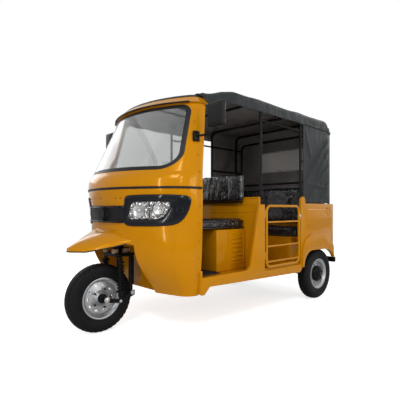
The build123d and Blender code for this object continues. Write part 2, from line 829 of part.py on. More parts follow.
tyre_form = wheel_tyre()
front_rim_form = wheel_rim(axle_hole, 44.0)
rear_rim_form = wheel_rim(15.3, 50.0)
wheel_places = [
    ("front", (0.0, front_axle_y, tyre_radius), front_rim_form, 0.0),
    ("rear_left", (rear_track / 2, rear_axle_y, tyre_radius), rear_rim_form, 0.0),
    ("rear_right", (-rear_track / 2, rear_axle_y, tyre_radius), rear_rim_form, 180.0),
]
for name, place, rim_form, turn in wheel_places:
    with BuildPart() as tyre:
        with Locations(Location(place, (0, 0, turn))):
            add(tyre_form)
    tyre.part.label = name + "_tyre"
    export_step(tyre.part, "parts/" + name + "_tyre.step")
    with BuildPart() as rim:
        with Locations(Location(place, (0, 0, turn))):
            add(rim_form)
    rim.part.label = name + "_rim"
    export_step(rim.part, "parts/" + name + "_rim.step")

# Rear axle: one turned form with the differential, the drums and the spindles
drum_face = rear_track / 2 - 54.0
drum_width = 26.0
spindle_radius = 15.0
with BuildPart() as rear_axle:
    with BuildSketch(Plane.XY):
        with BuildLine():
            Polyline((-92.0, 30.0), (-drum_face + drum_width, 30.0), (-drum_face + drum_width, 92.0),
                     (-drum_face, 92.0), (-drum_face, spindle_radius),
                     (-rear_track / 2 - 62.0, spindle_radius), (-rear_track / 2 - 62.0, 0.0),
                     (rear_track / 2 + 62.0, 0.0), (rear_track / 2 + 62.0, spindle_radius),
                     (drum_face, spindle_radius), (drum_face, 92.0), (drum_face - drum_width, 92.0),
                     (drum_face - drum_width, 30.0), (92.0, 30.0))
            ThreePointArc((92.0, 30.0), (0.0, 86.0), (-92.0, 30.0))
        make_face()
    revolve(axis=Axis.X)
rear_axle.part = rear_axle.part.moved(Location((0, rear_axle_y, tyre_radius)))
rear_axle.part.label = "rear_axle"
export_step(rear_axle.part, "parts/rear_axle.step")

# Leaf springs over the axle
spring_x = 370.0
leaf_width = 50.0
leaf_top = tyre_radius + 30.0 + 3 * 8.0
bracket_reach = spring_x - leaf_width / 2 - rail_x - rail_width / 2 - skin_gap
with BuildPart() as leaf_springs:
    for x in (-spring_x, spring_x):
        for index, (front_reach, rear_reach) in enumerate(((420.0, 175.0), (300.0, 140.0), (180.0, 100.0))):
            bottom = tyre_radius + 30.0 + 8.0 * (2 - index)
            with BuildSketch(Plane.XY.offset(bottom)):
                with Locations((x, rear_axle_y + (rear_reach - front_reach) / 2)):
                    Rectangle(leaf_width, front_reach + rear_reach)
            extrude(amount=8.0)
        for y in (rear_axle_y - 408.0, rear_axle_y + 155.0):
            with BuildSketch(Plane.XY.offset(leaf_top)):
                with Locations((x, y)):
                    Rectangle(leaf_width, 24.0)
            extrude(amount=chassis_top - leaf_top)
            with BuildSketch(Plane.XY.offset(chassis_top - 30.0)):
                with Locations((x - (leaf_width / 2 + bracket_reach / 2) * (1 if x > 0 else -1), y)):
                    Rectangle(bracket_reach, 24.0)
            extrude(amount=30.0)
leaf_springs.part.label = "leaf_springs"
export_step(leaf_springs.part, "parts/leaf_springs.step")

# Gates: tube frames in the passenger doorways, hinged at the pillar
gate_x = body_half - 10.0
hinge_y = pillar_rear_y + 13.0
gate_front_y = hinge_y + 20.0
gate_rear_y = gate_end_y - 19.0
gate_bottom = floor_top + 10.0
gate_top = 890.0
gate_tube = 11.0
gate_bars = (437.0, 562.0, 758.0)
hinge_heights = (470.0, 800.0)
hinge_length = 40.0
pin_radius = 5.0
for side, name in ((1, "gate_left"), (-1, "gate_right")):
    x = side * gate_x
    with BuildPart() as gate:
        with BuildLine():
            frame_path = FilletPolyline(
                (x, gate_front_y, gate_bottom),
                (x, gate_rear_y, gate_bottom),
                (x, gate_rear_y, gate_top),
                (x, gate_front_y, gate_top),
                close=True,
                radius=50.0,
            )
        with BuildSketch(Plane(origin=frame_path @ 0, z_dir=frame_path % 0)):
            Circle(gate_tube)
        sweep(path=frame_path)
        for height in gate_bars:
            with BuildSketch(Plane.XZ.offset(-gate_front_y)):
                with Locations((x, height)):
                    Circle(gate_tube * 0.7)
            extrude(amount=-(gate_rear_y - gate_front_y))
        for height in hinge_heights:
            with BuildSketch(Plane.XY.offset(height)):
                with Locations((x, hinge_y)):
                    Circle(pin_radius + 6.0)
            extrude(amount=hinge_length)
            with BuildSketch(Plane.XY.offset(height)):
                with Locations((x, hinge_y)):
                    Circle(pin_radius + skin_gap)
            extrude(amount=hinge_length, mode=Mode.SUBTRACT)
    gate.part.label = name
    export_step(gate.part, "parts/" + name + ".step")

with BuildPart() as gate_hinges:
    for x in (-gate_x, gate_x):
        for height in hinge_heights:
            with BuildSketch(Plane.XY.offset(height - 10.0)):
                with Locations((x, hinge_y)):
                    Circle(pin_radius)
            extrude(amount=hinge_length + 20.0)
            for lug in (height - 11.0, height + hinge_length + 1.0):
                with BuildSketch(Plane.XY.offset(lug)):
                    with Locations((x, (pillar_rear_y + hinge_y) / 2)):
                        Rectangle(2 * pin_radius + 6.0, hinge_y - pillar_rear_y)
                    with Locations((x, hinge_y)):
                        Circle(pin_radius + 3.0)
                extrude(amount=10.0)
gate_hinges.part.label = "gate_hinges"
export_step(gate_hinges.part, "parts/gate_hinges.step")

# Mirrors on their arms
arm_foot = 1352.0


def cab_half(height):
    """Half width of the cab beside the windscreen at a height."""
    foot, head = cab_upper
    return foot[2] + (head[2] - foot[2]) * (height - foot[0]) / (head[0] - foot[0])


with BuildPart() as mirrors:
    for side in (-1, 1):
        with BuildSketch(Plane.XZ.offset(-(front_axle_y + 486.0))):
            with Locations((side * 700.0, 1490.0)):
                RectangleRounded(160.0, 160.0, 25.0)
        extrude(amount=32.0)
        with BuildLine():
            arm = FilletPolyline(
                (side * (cab_half(arm_foot) - 20.0), front_axle_y + 400.0, arm_foot),
                (side * 680.0, front_axle_y + 440.0, arm_foot + 12.0),
                (side * 700.0, front_axle_y + 470.0, 1420.0),
                radius=22.0,
            )
        with BuildSketch(Plane(origin=arm @ 0, z_dir=arm % 0)):
            Circle(7.0)
        sweep(path=arm)
    add(cab_form(cab_upper, -skin_gap, 60.0, ruled=True), mode=Mode.SUBTRACT)
mirrors.part.label = "mirrors"
export_step(mirrors.part, "parts/mirrors.step")

# Rear bumper
bumper_height = 350.0
bumper_y = body_end_y + bumper_back
with BuildPart() as bumper:
    with BuildSketch(Plane.XY.offset(bumper_height - 25.0)):
        with Locations((0, bumper_y)):
            RectangleRounded(1190.0, bumper_depth, 15.0)
    extrude(amount=50.0)
    for x in (-rail_x, rail_x):
        with BuildSketch(Plane.XY.offset(chassis_top - rail_depth)):
            with Locations((x, (chassis_end_y + skin_gap + bumper_y) / 2)):
                Rectangle(rail_width, bumper_y - chassis_end_y - skin_gap)
        extrude(amount=rail_depth)
bumper.part.label = "bumper"
export_step(bumper.part, "parts/bumper.step")

# Fittings on the cab's face, each a patch of the body's own curve standing proud of it
strip_height = 1003.0
strip_depth = 15.0
with BuildPart() as cowl_strip:
    add(cab_form(cab_lower, -4.0))
    add(cab_form(cab_lower, 0.0, 60.0), mode=Mode.SUBTRACT)
    with BuildSketch(Plane.XY.offset(strip_height - strip_depth / 2)):
        Rectangle(3000.0, 3000.0)
    extrude(amount=strip_depth, mode=Mode.INTERSECT)
cowl_strip.part.label = "cowl_strip"
export_step(cowl_strip.part, "parts/cowl_strip.step")


def face_patch(outline, rise, deep):
    """Patch of the cab's curve inside a front view outline, from deep inside the skin to proud of it."""
    with BuildPart() as patch:
        add(cab_form(cab_lower, -rise))
        add(cab_form(cab_lower, deep, 60.0), mode=Mode.SUBTRACT)
        with BuildSketch(front_view):
            add(outline)
        extrude(amount=200.0 + 400.0, mode=Mode.INTERSECT)
    return patch.part


# Front view outlines, x outward and z up
bezel_outline = [
    (222.0, 772.0), (222.0, 930.0), (262.0, 952.0), (588.0, 958.0), (601.0, 930.0),
    (592.0, 847.0), (577.0, 788.0), (530.0, 757.0), (256.0, 749.0),
]
lens_outline = [
    (272.0, 795.0), (280.0, 907.0), (516.0, 911.0), (512.0, 873.0), (486.0, 831.0), (454.0, 795.0),
]
bezel_rise = 7.0
lens_rise = 11.0


def front_outline(points, side, corner, grow=0.0):
    """Face with round corners from a front view outline, on one side of the cab."""
    with BuildSketch(Plane.XY) as view:
        with BuildLine():
            Polyline(*[(-side * x, z) for x, z in points], close=True)
        make_face()
        fillet(view.vertices(), corner)
        if grow:
            offset(amount=grow)
    return view.sketch


with BuildPart() as lamp_bezels:
    for side in (-1, 1):
        with BuildSketch(Plane.XY, mode=Mode.PRIVATE) as bezel_view:
            add(front_outline(bezel_outline, side, 11.0))
            add(front_outline(lens_outline, side, 14.0, skin_gap), mode=Mode.SUBTRACT)
        add(face_patch(bezel_view.sketch, bezel_rise, 0.0))
lamp_bezels.part.label = "lamp_bezels"
export_step(lamp_bezels.part, "parts/lamp_bezels.step")

with BuildPart() as headlamps:
    for side in (-1, 1):
        add(face_patch(front_outline(lens_outline, side, 14.0), lens_rise, 0.0))
headlamps.part.label = "headlamps"
export_step(headlamps.part, "parts/headlamps.step")

grille_half = 222.0 - skin_gap
grille_bottom = 768.0
grille_top = 886.0
grille_rise = 5.0
with BuildPart() as nose_grille:
    with BuildSketch(Plane.XY, mode=Mode.PRIVATE) as grille_view:
        with Locations((0, (grille_bottom + grille_top) / 2)):
            Rectangle(2 * grille_half, grille_top - grille_bottom)
    add(face_patch(grille_view.sketch, grille_rise, 0.0))
nose_grille.part.label = "nose_grille"
export_step(nose_grille.part, "parts/nose_grille.step")

horn_radius = 44.0
horn_x = 45.0
with BuildPart() as horn:
    with BuildSketch(Plane.XY, mode=Mode.PRIVATE) as horn_view:
        with Locations((-horn_x, (grille_bottom + grille_top) / 2)):
            Circle(horn_radius)
    add(face_patch(horn_view.sketch, grille_rise + 20.0, -grille_rise - skin_gap))
horn.part.label = "horn"
export_step(horn.part, "parts/horn.step")

# Dashboard across the inside of the cowl
dash_top = 1030.0
dash_depth = 60.0
dash_rear_y = front_axle_y + 260.0
with BuildPart() as dashboard:
    add(cab_form(cab_lower, cab_wall + skin_gap))
    with BuildSketch(Plane.XY.offset(dash_top - dash_depth)):
        with Locations((0, dash_rear_y - 500.0)):
            Rectangle(2000.0, 1000.0)
    extrude(amount=dash_depth, mode=Mode.INTERSECT)
dashboard.part.label = "dashboard"
export_step(dashboard.part, "parts/dashboard.step")

# Tail lamps
with BuildPart() as tail_lamps:
    for x in (-500.0, 500.0):
        with BuildSketch(Plane.XZ.offset(-(body_end_y + 28.0 + skin_gap))):
            with Locations((x, 700.0)):
                RectangleRounded(90.0, 160.0, 18.0)
        extrude(amount=28.0)
tail_lamps.part.label = "tail_lamps"
export_step(tail_lamps.part, "parts/tail_lamps.step")

# Drive shaft under the floor, from the gearbox to the differential
shaft_radius = 18.0
with BuildPart() as drive_shaft:
    with BuildSketch(Plane.XZ.offset(-(front_axle_y + 1010.0))):
        with Locations((0, tyre_radius + 30.0)):
            Circle(shaft_radius)
    extrude(amount=-(rear_axle_y - 86.0 - skin_gap - front_axle_y - 1010.0))
    with BuildSketch(Plane.XY.offset(tyre_radius + 30.0)):
        with Locations((0, front_axle_y + 960.0)):
            Rectangle(150.0, 130.0)
    extrude(amount=chassis_top - tyre_radius - 30.0)
drive_shaft.part.label = "drive_shaft"
export_step(drive_shaft.part, "parts/drive_shaft.step")

# Exhaust: a pipe from under the engine, a silencer hung from a cross member and a short tail
exhaust_x = -130.0
exhaust_z = 252.0
silencer_radius = 40.0
silencer_front_y = front_axle_y + 1260.0
silencer_rear_y = front_axle_y + 1640.0
hanger_y = front_axle_y + 1500.0
with BuildPart() as exhaust:
    with BuildLine():
        pipe = FilletPolyline(
            (exhaust_x, front_axle_y + 1030.0, chassis_top - skin_gap),
            (exhaust_x, front_axle_y + 1030.0, exhaust_z),
            (exhaust_x, silencer_rear_y + 60.0, exhaust_z),
            radius=45.0,
        )
    with BuildSketch(Plane(origin=pipe @ 0, z_dir=pipe % 0)):
        Circle(15.0)
    sweep(path=pipe)
    with BuildSketch(Plane.XZ.offset(-silencer_front_y)):
        with Locations((exhaust_x, exhaust_z)):
            Circle(silencer_radius)
    extrude(amount=-(silencer_rear_y - silencer_front_y))
    with BuildSketch(Plane.XY.offset(exhaust_z)):
        with Locations((exhaust_x, hanger_y)):
            Rectangle(24.0, 20.0)
    extrude(amount=chassis_top - rail_depth + 12.0 - skin_gap - exhaust_z)
exhaust.part.label = "exhaust"
export_step(exhaust.part, "parts/exhaust.step")
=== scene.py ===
import math

import bpy
from bpy.props import FloatProperty, FloatVectorProperty, IntProperty, PointerProperty
from bpy.types import Operator, Panel, PropertyGroup
from mathutils import Matrix, Vector, noise
from mathutils.bvhtree import BVHTree


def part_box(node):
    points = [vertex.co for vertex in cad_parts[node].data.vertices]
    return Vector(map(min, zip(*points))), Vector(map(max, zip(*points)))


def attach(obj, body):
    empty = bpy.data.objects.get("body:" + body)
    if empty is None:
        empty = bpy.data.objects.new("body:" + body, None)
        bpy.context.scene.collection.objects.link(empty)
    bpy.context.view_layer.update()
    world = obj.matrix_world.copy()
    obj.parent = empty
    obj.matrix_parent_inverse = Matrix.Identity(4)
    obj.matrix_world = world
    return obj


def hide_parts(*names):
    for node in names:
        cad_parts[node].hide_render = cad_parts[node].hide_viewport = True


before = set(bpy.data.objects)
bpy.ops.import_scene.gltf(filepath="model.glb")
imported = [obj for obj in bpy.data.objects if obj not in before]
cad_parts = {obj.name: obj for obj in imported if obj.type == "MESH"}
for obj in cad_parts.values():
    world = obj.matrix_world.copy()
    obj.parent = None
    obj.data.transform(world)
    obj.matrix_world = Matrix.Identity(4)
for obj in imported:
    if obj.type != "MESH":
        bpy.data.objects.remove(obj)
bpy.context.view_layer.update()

bl_info = {
    "name": "Auto rickshaw dresser",
    "version": (1, 0, 0),
    "blender": (4, 5, 0),
    "location": "View3D > Sidebar > Rickshaw",
    "description": "Dresses the auto rickshaw's frame with paint, canvas, seats, wheels and fittings",
    "category": "Object",
}


def middle(node):
    """The middle of a node's box."""
    low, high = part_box(node)
    return (low + high) / 2


FRONT_AXLE = middle("front_tyre")
AXLE_Y = FRONT_AXLE.y
WHEEL_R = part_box("front_tyre")[1].z / 2
REAR_AXLE_Y = middle("rear_left_tyre").y
TRACK_X = middle("rear_left_tyre").x
COVER_LOW, COVER_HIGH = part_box("canopy_cover")


def at(x, back, z):
    """A point from its x, its distance behind the front axle and its height."""
    return Vector((x, AXLE_Y + back, z))


# ---- Finishes


def node_tools(name):
    """A new node material with its tree and shader."""
    material = bpy.data.materials.new(name)
    material.use_nodes = True
    tree = material.node_tree
    return material, tree, tree.nodes["Principled BSDF"]


def texture(tree, kind, scale, stretch=None, **settings):
    """A procedural texture on Object coordinates."""
    where = tree.nodes.new("ShaderNodeTexCoord")
    source = where.outputs["Object"]
    if stretch:
        mapping = tree.nodes.new("ShaderNodeMapping")
        mapping.inputs["Scale"].default_value = stretch
        tree.links.new(source, mapping.inputs["Vector"])
        source = mapping.outputs["Vector"]
    node = tree.nodes.new("ShaderNodeTex" + kind)
    node.inputs["Scale"].default_value = scale
    for key, value in settings.items():
        if key in node.inputs:
            node.inputs[key].default_value = value
        else:
            setattr(node, key, value)
    tree.links.new(source, node.inputs["Vector"])
    return node


def ramp(tree, source, low, high, start=0.3, end=0.7):
    """A ramp between two colours or values, driven by a texture."""
    node = tree.nodes.new("ShaderNodeValToRGB")
    node.color_ramp.elements[0].position = start
    node.color_ramp.elements[1].position = end
    for element, value in zip(node.color_ramp.elements, (low, high)):
        element.color = (*value, 1.0) if hasattr(value, "__len__") else (value, value, value, 1.0)
    tree.links.new(source, node.inputs["Fac"])
    return node.outputs["Color"]


def drive(tree, socket, source, low, high, *span):
    """A shader's value run between two by a texture."""
    tree.links.new(ramp(tree, source, low, high, *span), socket)


def relief(tree, shader, layers):
    """Bump layers on a shader: height output, strength and depth in metres of each."""
    last = None
    for height, strength, depth in layers:
        bump = tree.nodes.new("ShaderNodeBump")
        bump.inputs["Strength"].default_value = strength
        bump.inputs["Distance"].default_value = depth
        tree.links.new(height, bump.inputs["Height"])
        if last:
            tree.links.new(last, bump.inputs["Normal"])
        last = bump.outputs["Normal"]
    tree.links.new(last, shader.inputs["Normal"])


def shaded(colour, amount):
    return tuple(max(0.0, min(1.0, c * amount)) for c in colour[:3])


def plain_finish(name, colour, rough, metal=0.0, coat=0.0, patch=6.0, grain=600.0, grain_depth=0.0002,
                 spread=0.12, rough_spread=0.1, specular=0.3, tint=(1.0, 1.0, 1.0)):
    """A finish with broad colour patches, roughness wear and a fine surface grain."""
    material, tree, shader = node_tools(name)
    broad = texture(tree, "Noise", patch, Detail=6.0, Roughness=0.6)
    drive(tree, shader.inputs["Base Color"], broad.outputs["Fac"],
          shaded(colour, 1 - spread), shaded(colour, 1 + spread))
    wear = texture(tree, "Noise", patch * 7, Detail=8.0, Roughness=0.7)
    drive(tree, shader.inputs["Roughness"], wear.outputs["Fac"],
          max(0.02, rough - rough_spread), min(1.0, rough + rough_spread))
    fine = texture(tree, "Noise", grain, Detail=3.0)
    relief(tree, shader, [(fine.outputs["Fac"], 0.35, grain_depth)])
    shader.inputs["Metallic"].default_value = metal
    shader.inputs["Coat Weight"].default_value = coat
    shader.inputs["Coat Roughness"].default_value = 0.03
    shader.inputs["Specular IOR Level"].default_value = specular
    shader.inputs["Specular Tint"].default_value = (*tint, 1.0)
    return material


def vinyl_finish(colour):
    """Glossy seat vinyl with soft creases and a leather grain."""
    material, tree, shader = node_tools("seat_vinyl")
    broad = texture(tree, "Noise", 9.0, Detail=5.0)
    drive(tree, shader.inputs["Base Color"], broad.outputs["Fac"], shaded(colour, 0.7), shaded(colour, 1.6))
    drive(tree, shader.inputs["Roughness"], broad.outputs["Fac"], 0.12, 0.22)
    creases = texture(tree, "Noise", 11.0, stretch=(1.0, 1.3, 0.6), noise_type="RIDGED_MULTIFRACTAL",
                      Detail=3.0, Roughness=0.45, Distortion=1.2)
    soft = texture(tree, "Noise", 26.0, stretch=(1.0, 1.0, 0.5), Detail=3.0, Distortion=1.5)
    grain = texture(tree, "Voronoi", 420.0)
    relief(tree, shader, [(creases.outputs["Fac"], 0.7, 0.02), (soft.outputs["Fac"], 0.7, 0.014),
                          (grain.outputs["Distance"], 0.15, 0.0004)])
    shader.inputs["Specular IOR Level"].default_value = 0.45
    shader.inputs["Coat Weight"].default_value = 0.3
    shader.inputs["Coat Roughness"].default_value = 0.06
    return material


def cloth_finish(name, colour, rough, thread, crease, sheen):
    """Coated canvas: a crossed weave, long creases and dusty patches."""
    material, tree, shader = node_tools(name)
    dust = texture(tree, "Noise", 4.5, Detail=8.0, Roughness=0.7)
    drive(tree, shader.inputs["Base Color"], dust.outputs["Fac"], shaded(colour, 0.78), shaded(colour, 1.35))
    drive(tree, shader.inputs["Roughness"], dust.outputs["Fac"], rough - 0.1, rough + 0.1)
    folds = texture(tree, "Noise", 5.0, stretch=(1.0, 1.6, 0.6), Detail=5.0, Roughness=0.55, Distortion=0.9)
    along = texture(tree, "Wave", thread, bands_direction="Y", Distortion=0.4)
    across = texture(tree, "Wave", thread, bands_direction="Z", Distortion=0.4)
    relief(tree, shader, [
        (folds.outputs["Fac"], crease, 0.03),
        (along.outputs["Fac"], 0.25, 0.0006),
        (across.outputs["Fac"], 0.25, 0.0006),
    ])
    shader.inputs["Sheen Weight"].default_value = sheen
    shader.inputs["Specular IOR Level"].default_value = 0.16
    return material


def clear_finish(name, colour, rough=0.02, ior=1.45, alpha=1.0):
    """Clear glass or film, faintly smeared."""
    material, tree, shader = node_tools(name)
    shader.inputs["Base Color"].default_value = (*colour, 1.0)
    shader.inputs["Transmission Weight"].default_value = 1.0
    shader.inputs["IOR"].default_value = ior
    shader.inputs["Alpha"].default_value = alpha
    smear = texture(tree, "Noise", 8.0, Detail=6.0)
    drive(tree, shader.inputs["Roughness"], smear.outputs["Fac"], rough, rough + 0.05)
    return material


def facet_finish(name, colour, scale, metal, rough):
    """Pressed facets, as in a reflector or a lens."""
    material, tree, shader = node_tools(name)
    cells = texture(tree, "Voronoi", scale)
    drive(tree, shader.inputs["Base Color"], cells.outputs["Color"], shaded(colour, 0.35), colour, 0.1, 0.8)
    relief(tree, shader, [(cells.outputs["Distance"], 0.9, 0.02)])
    shader.inputs["Metallic"].default_value = metal
    shader.inputs["Roughness"].default_value = rough
    return material


def ribbed_finish(name, colour, rough, pitch_scale):
    """Moulded rubber with straight ribs."""
    material, tree, shader = node_tools(name)
    broad = texture(tree, "Noise", 12.0, Detail=8.0)
    drive(tree, shader.inputs["Base Color"], broad.outputs["Fac"], shaded(colour, 0.8), shaded(colour, 2.2))
    shader.inputs["Roughness"].default_value = rough
    shader.inputs["Specular IOR Level"].default_value = 0.2
    ribs = texture(tree, "Wave", pitch_scale, bands_direction="Y")
    relief(tree, shader, [(ribs.outputs["Fac"], 0.8, 0.003), (broad.outputs["Fac"], 0.3, 0.002)])
    return material


FINISHES = {}
# Finish of each node that stays as it is
NODE_FINISH = {
    "cab_shell": "paint", "cab_roof": "paint", "floor_pan": "paint",
    "gate_left": "paint", "gate_right": "paint", "windscreen": "glass", "windscreen_seal": "seal",
    "rear_window": "film", "floor_mat": "mat",
    "nose_grille": "black_plastic", "cowl_strip": "black_plastic", "horn": "black_plastic",
    "canopy_hoops": "black_paint", "canopy_rails": "black_paint", "chassis_rails": "black_paint",
    "chassis_cross_members": "black_paint", "fork_stem": "black_paint", "fork_links": "black_paint",
    "handlebar": "black_paint", "steering_head": "black_paint", "rear_axle": "black_paint",
    "leaf_springs": "iron", "drive_shaft": "black_paint", "gate_hinges": "paint",
    "engine_block": "iron", "exhaust": "steel", "front_rim": "rim", "rear_left_rim": "rim",
    "rear_right_rim": "rim", "tail_lamps": "red",
}


def make_finishes(size):
    """Every finish of the vehicle, and the finish of each node that stays."""
    paint, canvas, vinyl = tuple(size.paint_colour), tuple(size.canvas_colour), tuple(size.vinyl_colour)
    FINISHES.update({
        "paint": plain_finish("body_paint", paint, 0.18, coat=0.12, patch=2.2, grain=900.0,
                              grain_depth=0.00004, spread=0.03, rough_spread=0.04, specular=0.30,
                              tint=(1.0, 0.5, 0.04)),
        "black_paint": plain_finish("black_tube_paint", (0.007, 0.007, 0.007), 0.28, specular=0.07),
        "black_gloss": plain_finish("black_gloss_moulding", (0.006, 0.007, 0.010), 0.12, coat=0.08,
                                    grain_depth=0.00003, specular=0.16),
        "black_plastic": plain_finish("black_grained_moulding", (0.012, 0.012, 0.013), 0.45,
                                      grain=380.0, grain_depth=0.0006, specular=0.1),
        "vinyl": vinyl_finish(vinyl),
        "canvas": cloth_finish("coated_canvas", canvas, 0.40, 260.0, 0.6, 0.0),
        "lining": cloth_finish("canopy_lining", (0.13, 0.122, 0.118), 0.8, 260.0, 0.35, 0.0),
        "piping": plain_finish("light_piping", (0.55, 0.55, 0.52), 0.5),
        # The windscreen's dark grey tint is painted shade and reflection: darker than the glass itself, it
        # stands in for a dim room seen through the glass
        "glass": clear_finish("windscreen_glass_painted_shade", (0.46, 0.49, 0.48), alpha=0.8),
        "film": clear_finish("window_film", (0.078, 0.071, 0.067), 0.15, 1.3),
        "lens": clear_finish("lamp_glass", (0.98, 0.98, 0.98), 0.01, alpha=0.25),
        "reflector": facet_finish("lamp_reflector", (0.95, 0.95, 0.93), 75.0, 0.9, 0.22),
        "red": facet_finish("red_lens", (0.55, 0.02, 0.015), 130.0, 0.0, 0.15),
        "amber": facet_finish("amber_lens", (0.75, 0.22, 0.01), 130.0, 0.0, 0.15),
        "seal": plain_finish("black_seal_rubber", (0.006, 0.006, 0.006), 0.45, grain=300.0, specular=0.2),
        "mat": ribbed_finish("ribbed_mat", (0.012, 0.012, 0.013), 0.6, 55.0),
        "tyre": plain_finish("tyre_rubber", (0.006, 0.006, 0.0065), 0.55, patch=11.0, grain=260.0,
                             grain_depth=0.0009, spread=0.35, specular=0.1),
        "rim": plain_finish("wheel_silver", (0.36, 0.37, 0.38), 0.34, metal=0.8, patch=12.0, grain=500.0,
                            grain_depth=0.0001),
        "steel": plain_finish("bright_steel", (0.52, 0.52, 0.52), 0.24, metal=1.0, patch=18.0),
        "iron": plain_finish("cast_iron", (0.035, 0.033, 0.032), 0.62, metal=0.5, patch=16.0, grain=160.0,
                             grain_depth=0.002, spread=0.4),
        "buffer": plain_finish("tan_rubber", (0.36, 0.26, 0.16), 0.6, patch=20.0),
        "mirror": plain_finish("mirror_glass", (0.85, 0.87, 0.88), 0.03, metal=1.0, rough_spread=0.01,
                               grain_depth=0.00001),
    })
    for node, finish in NODE_FINISH.items():
        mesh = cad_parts[node].data
        mesh.materials.clear()
        mesh.materials.append(FINISHES[finish])


# ---- Making pieces


def deselect():
    if bpy.context.object and bpy.context.object.mode != "OBJECT":
        bpy.ops.object.mode_set(mode="OBJECT")
    bpy.ops.object.select_all(action="DESELECT")


def pick(piece):
    deselect()
    piece.select_set(True)
    bpy.context.view_layer.objects.active = piece
    return piece


def active():
    return bpy.context.view_layer.objects.active


def freeze(piece):
    """The piece's place, turn and size go into its mesh."""
    pick(piece)
    bpy.ops.object.transform_apply(location=True, rotation=True, scale=True)
    return piece


def edit(piece, *steps):
    """Edits to the whole of a piece's mesh."""
    pick(piece)
    bpy.ops.object.mode_set(mode="EDIT")
    bpy.ops.mesh.select_all(action="SELECT")
    for step in steps:
        step()
    bpy.ops.object.mode_set(mode="OBJECT")
    return piece


def weld(piece):
    """Meeting corners joined, faces turned outward."""
    return edit(piece, lambda: bpy.ops.mesh.remove_doubles(threshold=0.00002),
                lambda: bpy.ops.mesh.normals_make_consistent(inside=False))


def shape(piece, kind, **settings):
    """One modifier, applied."""
    pick(piece)
    modifier = piece.modifiers.new(kind.title(), kind)
    for key, value in settings.items():
        setattr(modifier, key, value)
    bpy.ops.object.modifier_apply(modifier=modifier.name)
    return piece


def soften(piece, width, segments=2, angle=35.0):
    return shape(piece, "BEVEL", width=width, segments=segments, limit_method="ANGLE",
                 angle_limit=math.radians(angle))


def done(piece, name, finish, body="vehicle", smooth=35.0, replaces=(), lined=False):
    """A finished piece: named, finished, smoothed, and riding on its body."""
    freeze(piece)
    piece.name = piece.data.name = name
    if not lined:
        piece.data.materials.clear()
        piece.data.materials.append(FINISHES[finish])
    pick(piece)
    bpy.ops.object.shade_smooth_by_angle(angle=math.radians(smooth))
    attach(piece, body)
    if replaces:
        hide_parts(*replaces)
    return piece


def join(pieces):
    """Several meshes made one, the first of them kept."""
    deselect()
    for piece in pieces:
        piece.select_set(True)
    bpy.context.view_layer.objects.active = pieces[0]
    if len(pieces) > 1:
        bpy.ops.object.join()
    return pieces[0]


def block(size, place, rounding=0.0, segments=3, turn=(0.0, 0.0, 0.0)):
    """A rounded block of a size at a place."""
    deselect()
    bpy.ops.mesh.primitive_cube_add(size=1, location=place, rotation=turn)
    piece = active()
    piece.scale = size
    freeze(piece)
    return soften(piece, rounding, segments) if rounding else piece


def rod(start, end, radius, sides=24, rounding=0.0):
    """A round bar between two points."""
    start, end = Vector(start), Vector(end)
    way = end - start
    deselect()
    bpy.ops.mesh.primitive_cylinder_add(vertices=sides, radius=radius, depth=way.length,
                                        location=(start + end) / 2,
                                        rotation=way.to_track_quat("Z", "Y").to_euler())
    piece = freeze(active())
    return soften(piece, rounding, 2, 50.0) if rounding else piece


def pipe(points, radius, sides=10, smooth=True, closed=False):
    """A round tube along a line of points."""
    curve = bpy.data.curves.new("pipe", "CURVE")
    curve.dimensions = "3D"
    curve.bevel_depth = radius
    curve.bevel_resolution = max(0, sides // 2 - 2)
    curve.use_fill_caps = True
    curve.resolution_u = 6
    spline = curve.splines.new("NURBS" if smooth else "POLY")
    spline.points.add(len(points) - 1)
    for spot, point in zip(spline.points, points):
        spot.co = (*point, 1.0)
    spline.use_cyclic_u = closed
    if smooth:
        spline.order_u = 3
        spline.use_endpoint_u = not closed
    piece = bpy.data.objects.new("pipe", curve)
    bpy.context.scene.collection.objects.link(piece)
    pick(piece)
    bpy.ops.object.convert(target="MESH")
    return active()


def lathe(profile, place, axis="X", steps=48, flip=False):
    """A closed outline of (along, radius) pairs spun round an axis through a place."""
    deselect()
    bpy.ops.mesh.primitive_circle_add(vertices=len(profile), radius=1.0, location=(0, 0, 0))
    piece = active()
    for corner, (along, radius) in zip(piece.data.vertices, profile):
        corner.co = (-along if flip else along, 0.0, radius)
    edit(piece, lambda: bpy.ops.mesh.spin(steps=steps, angle=2 * math.pi, center=(0, 0, 0), axis=(1, 0, 0)))
    weld(piece)
    turn = {"X": Matrix(), "Y": Matrix.Rotation(math.pi / 2, 4, "Z"),
            "Z": Matrix.Rotation(-math.pi / 2, 4, "Y")}[axis] if isinstance(axis, str) else axis
    piece.data.transform(Matrix.Translation(place) @ turn)
    return piece


def sheet_mesh(name, rows):
    """A grid of faces through rows of points."""
    across = len(rows[0])
    points = [tuple(p) for row in rows for p in row]
    faces = [
        (r * across + c, r * across + c + 1, (r + 1) * across + c + 1, (r + 1) * across + c)
        for r in range(len(rows) - 1) for c in range(across - 1)
    ]
    mesh = bpy.data.meshes.new(name)
    mesh.from_pydata(points, [], faces)
    piece = bpy.data.objects.new(name, mesh)
    bpy.context.scene.collection.objects.link(piece)
    return piece


def two_faced(piece):
    """A sheet given its thickness inward, canvas outside and lining inside."""
    piece.data.materials.append(FINISHES["canvas"])
    piece.data.materials.append(FINISHES["lining"])
    return shape(piece, "SOLIDIFY", thickness=CLOTH, offset=-1.0, material_offset=1, material_offset_rim=0)


def from_node(node):
    """A merged copy of a node's mesh, its flat faces joined."""
    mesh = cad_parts[node].data.copy()
    piece = bpy.data.objects.new(node + "_copy", mesh)
    bpy.context.scene.collection.objects.link(piece)
    edit(piece, lambda: bpy.ops.mesh.remove_doubles(threshold=0.00005),
         lambda: bpy.ops.mesh.dissolve_limited(angle_limit=math.radians(1.0)))
    if piece.data.has_custom_normals:
        bpy.ops.mesh.customdata_custom_splitnormals_clear()
    return piece


# ---- Canopy

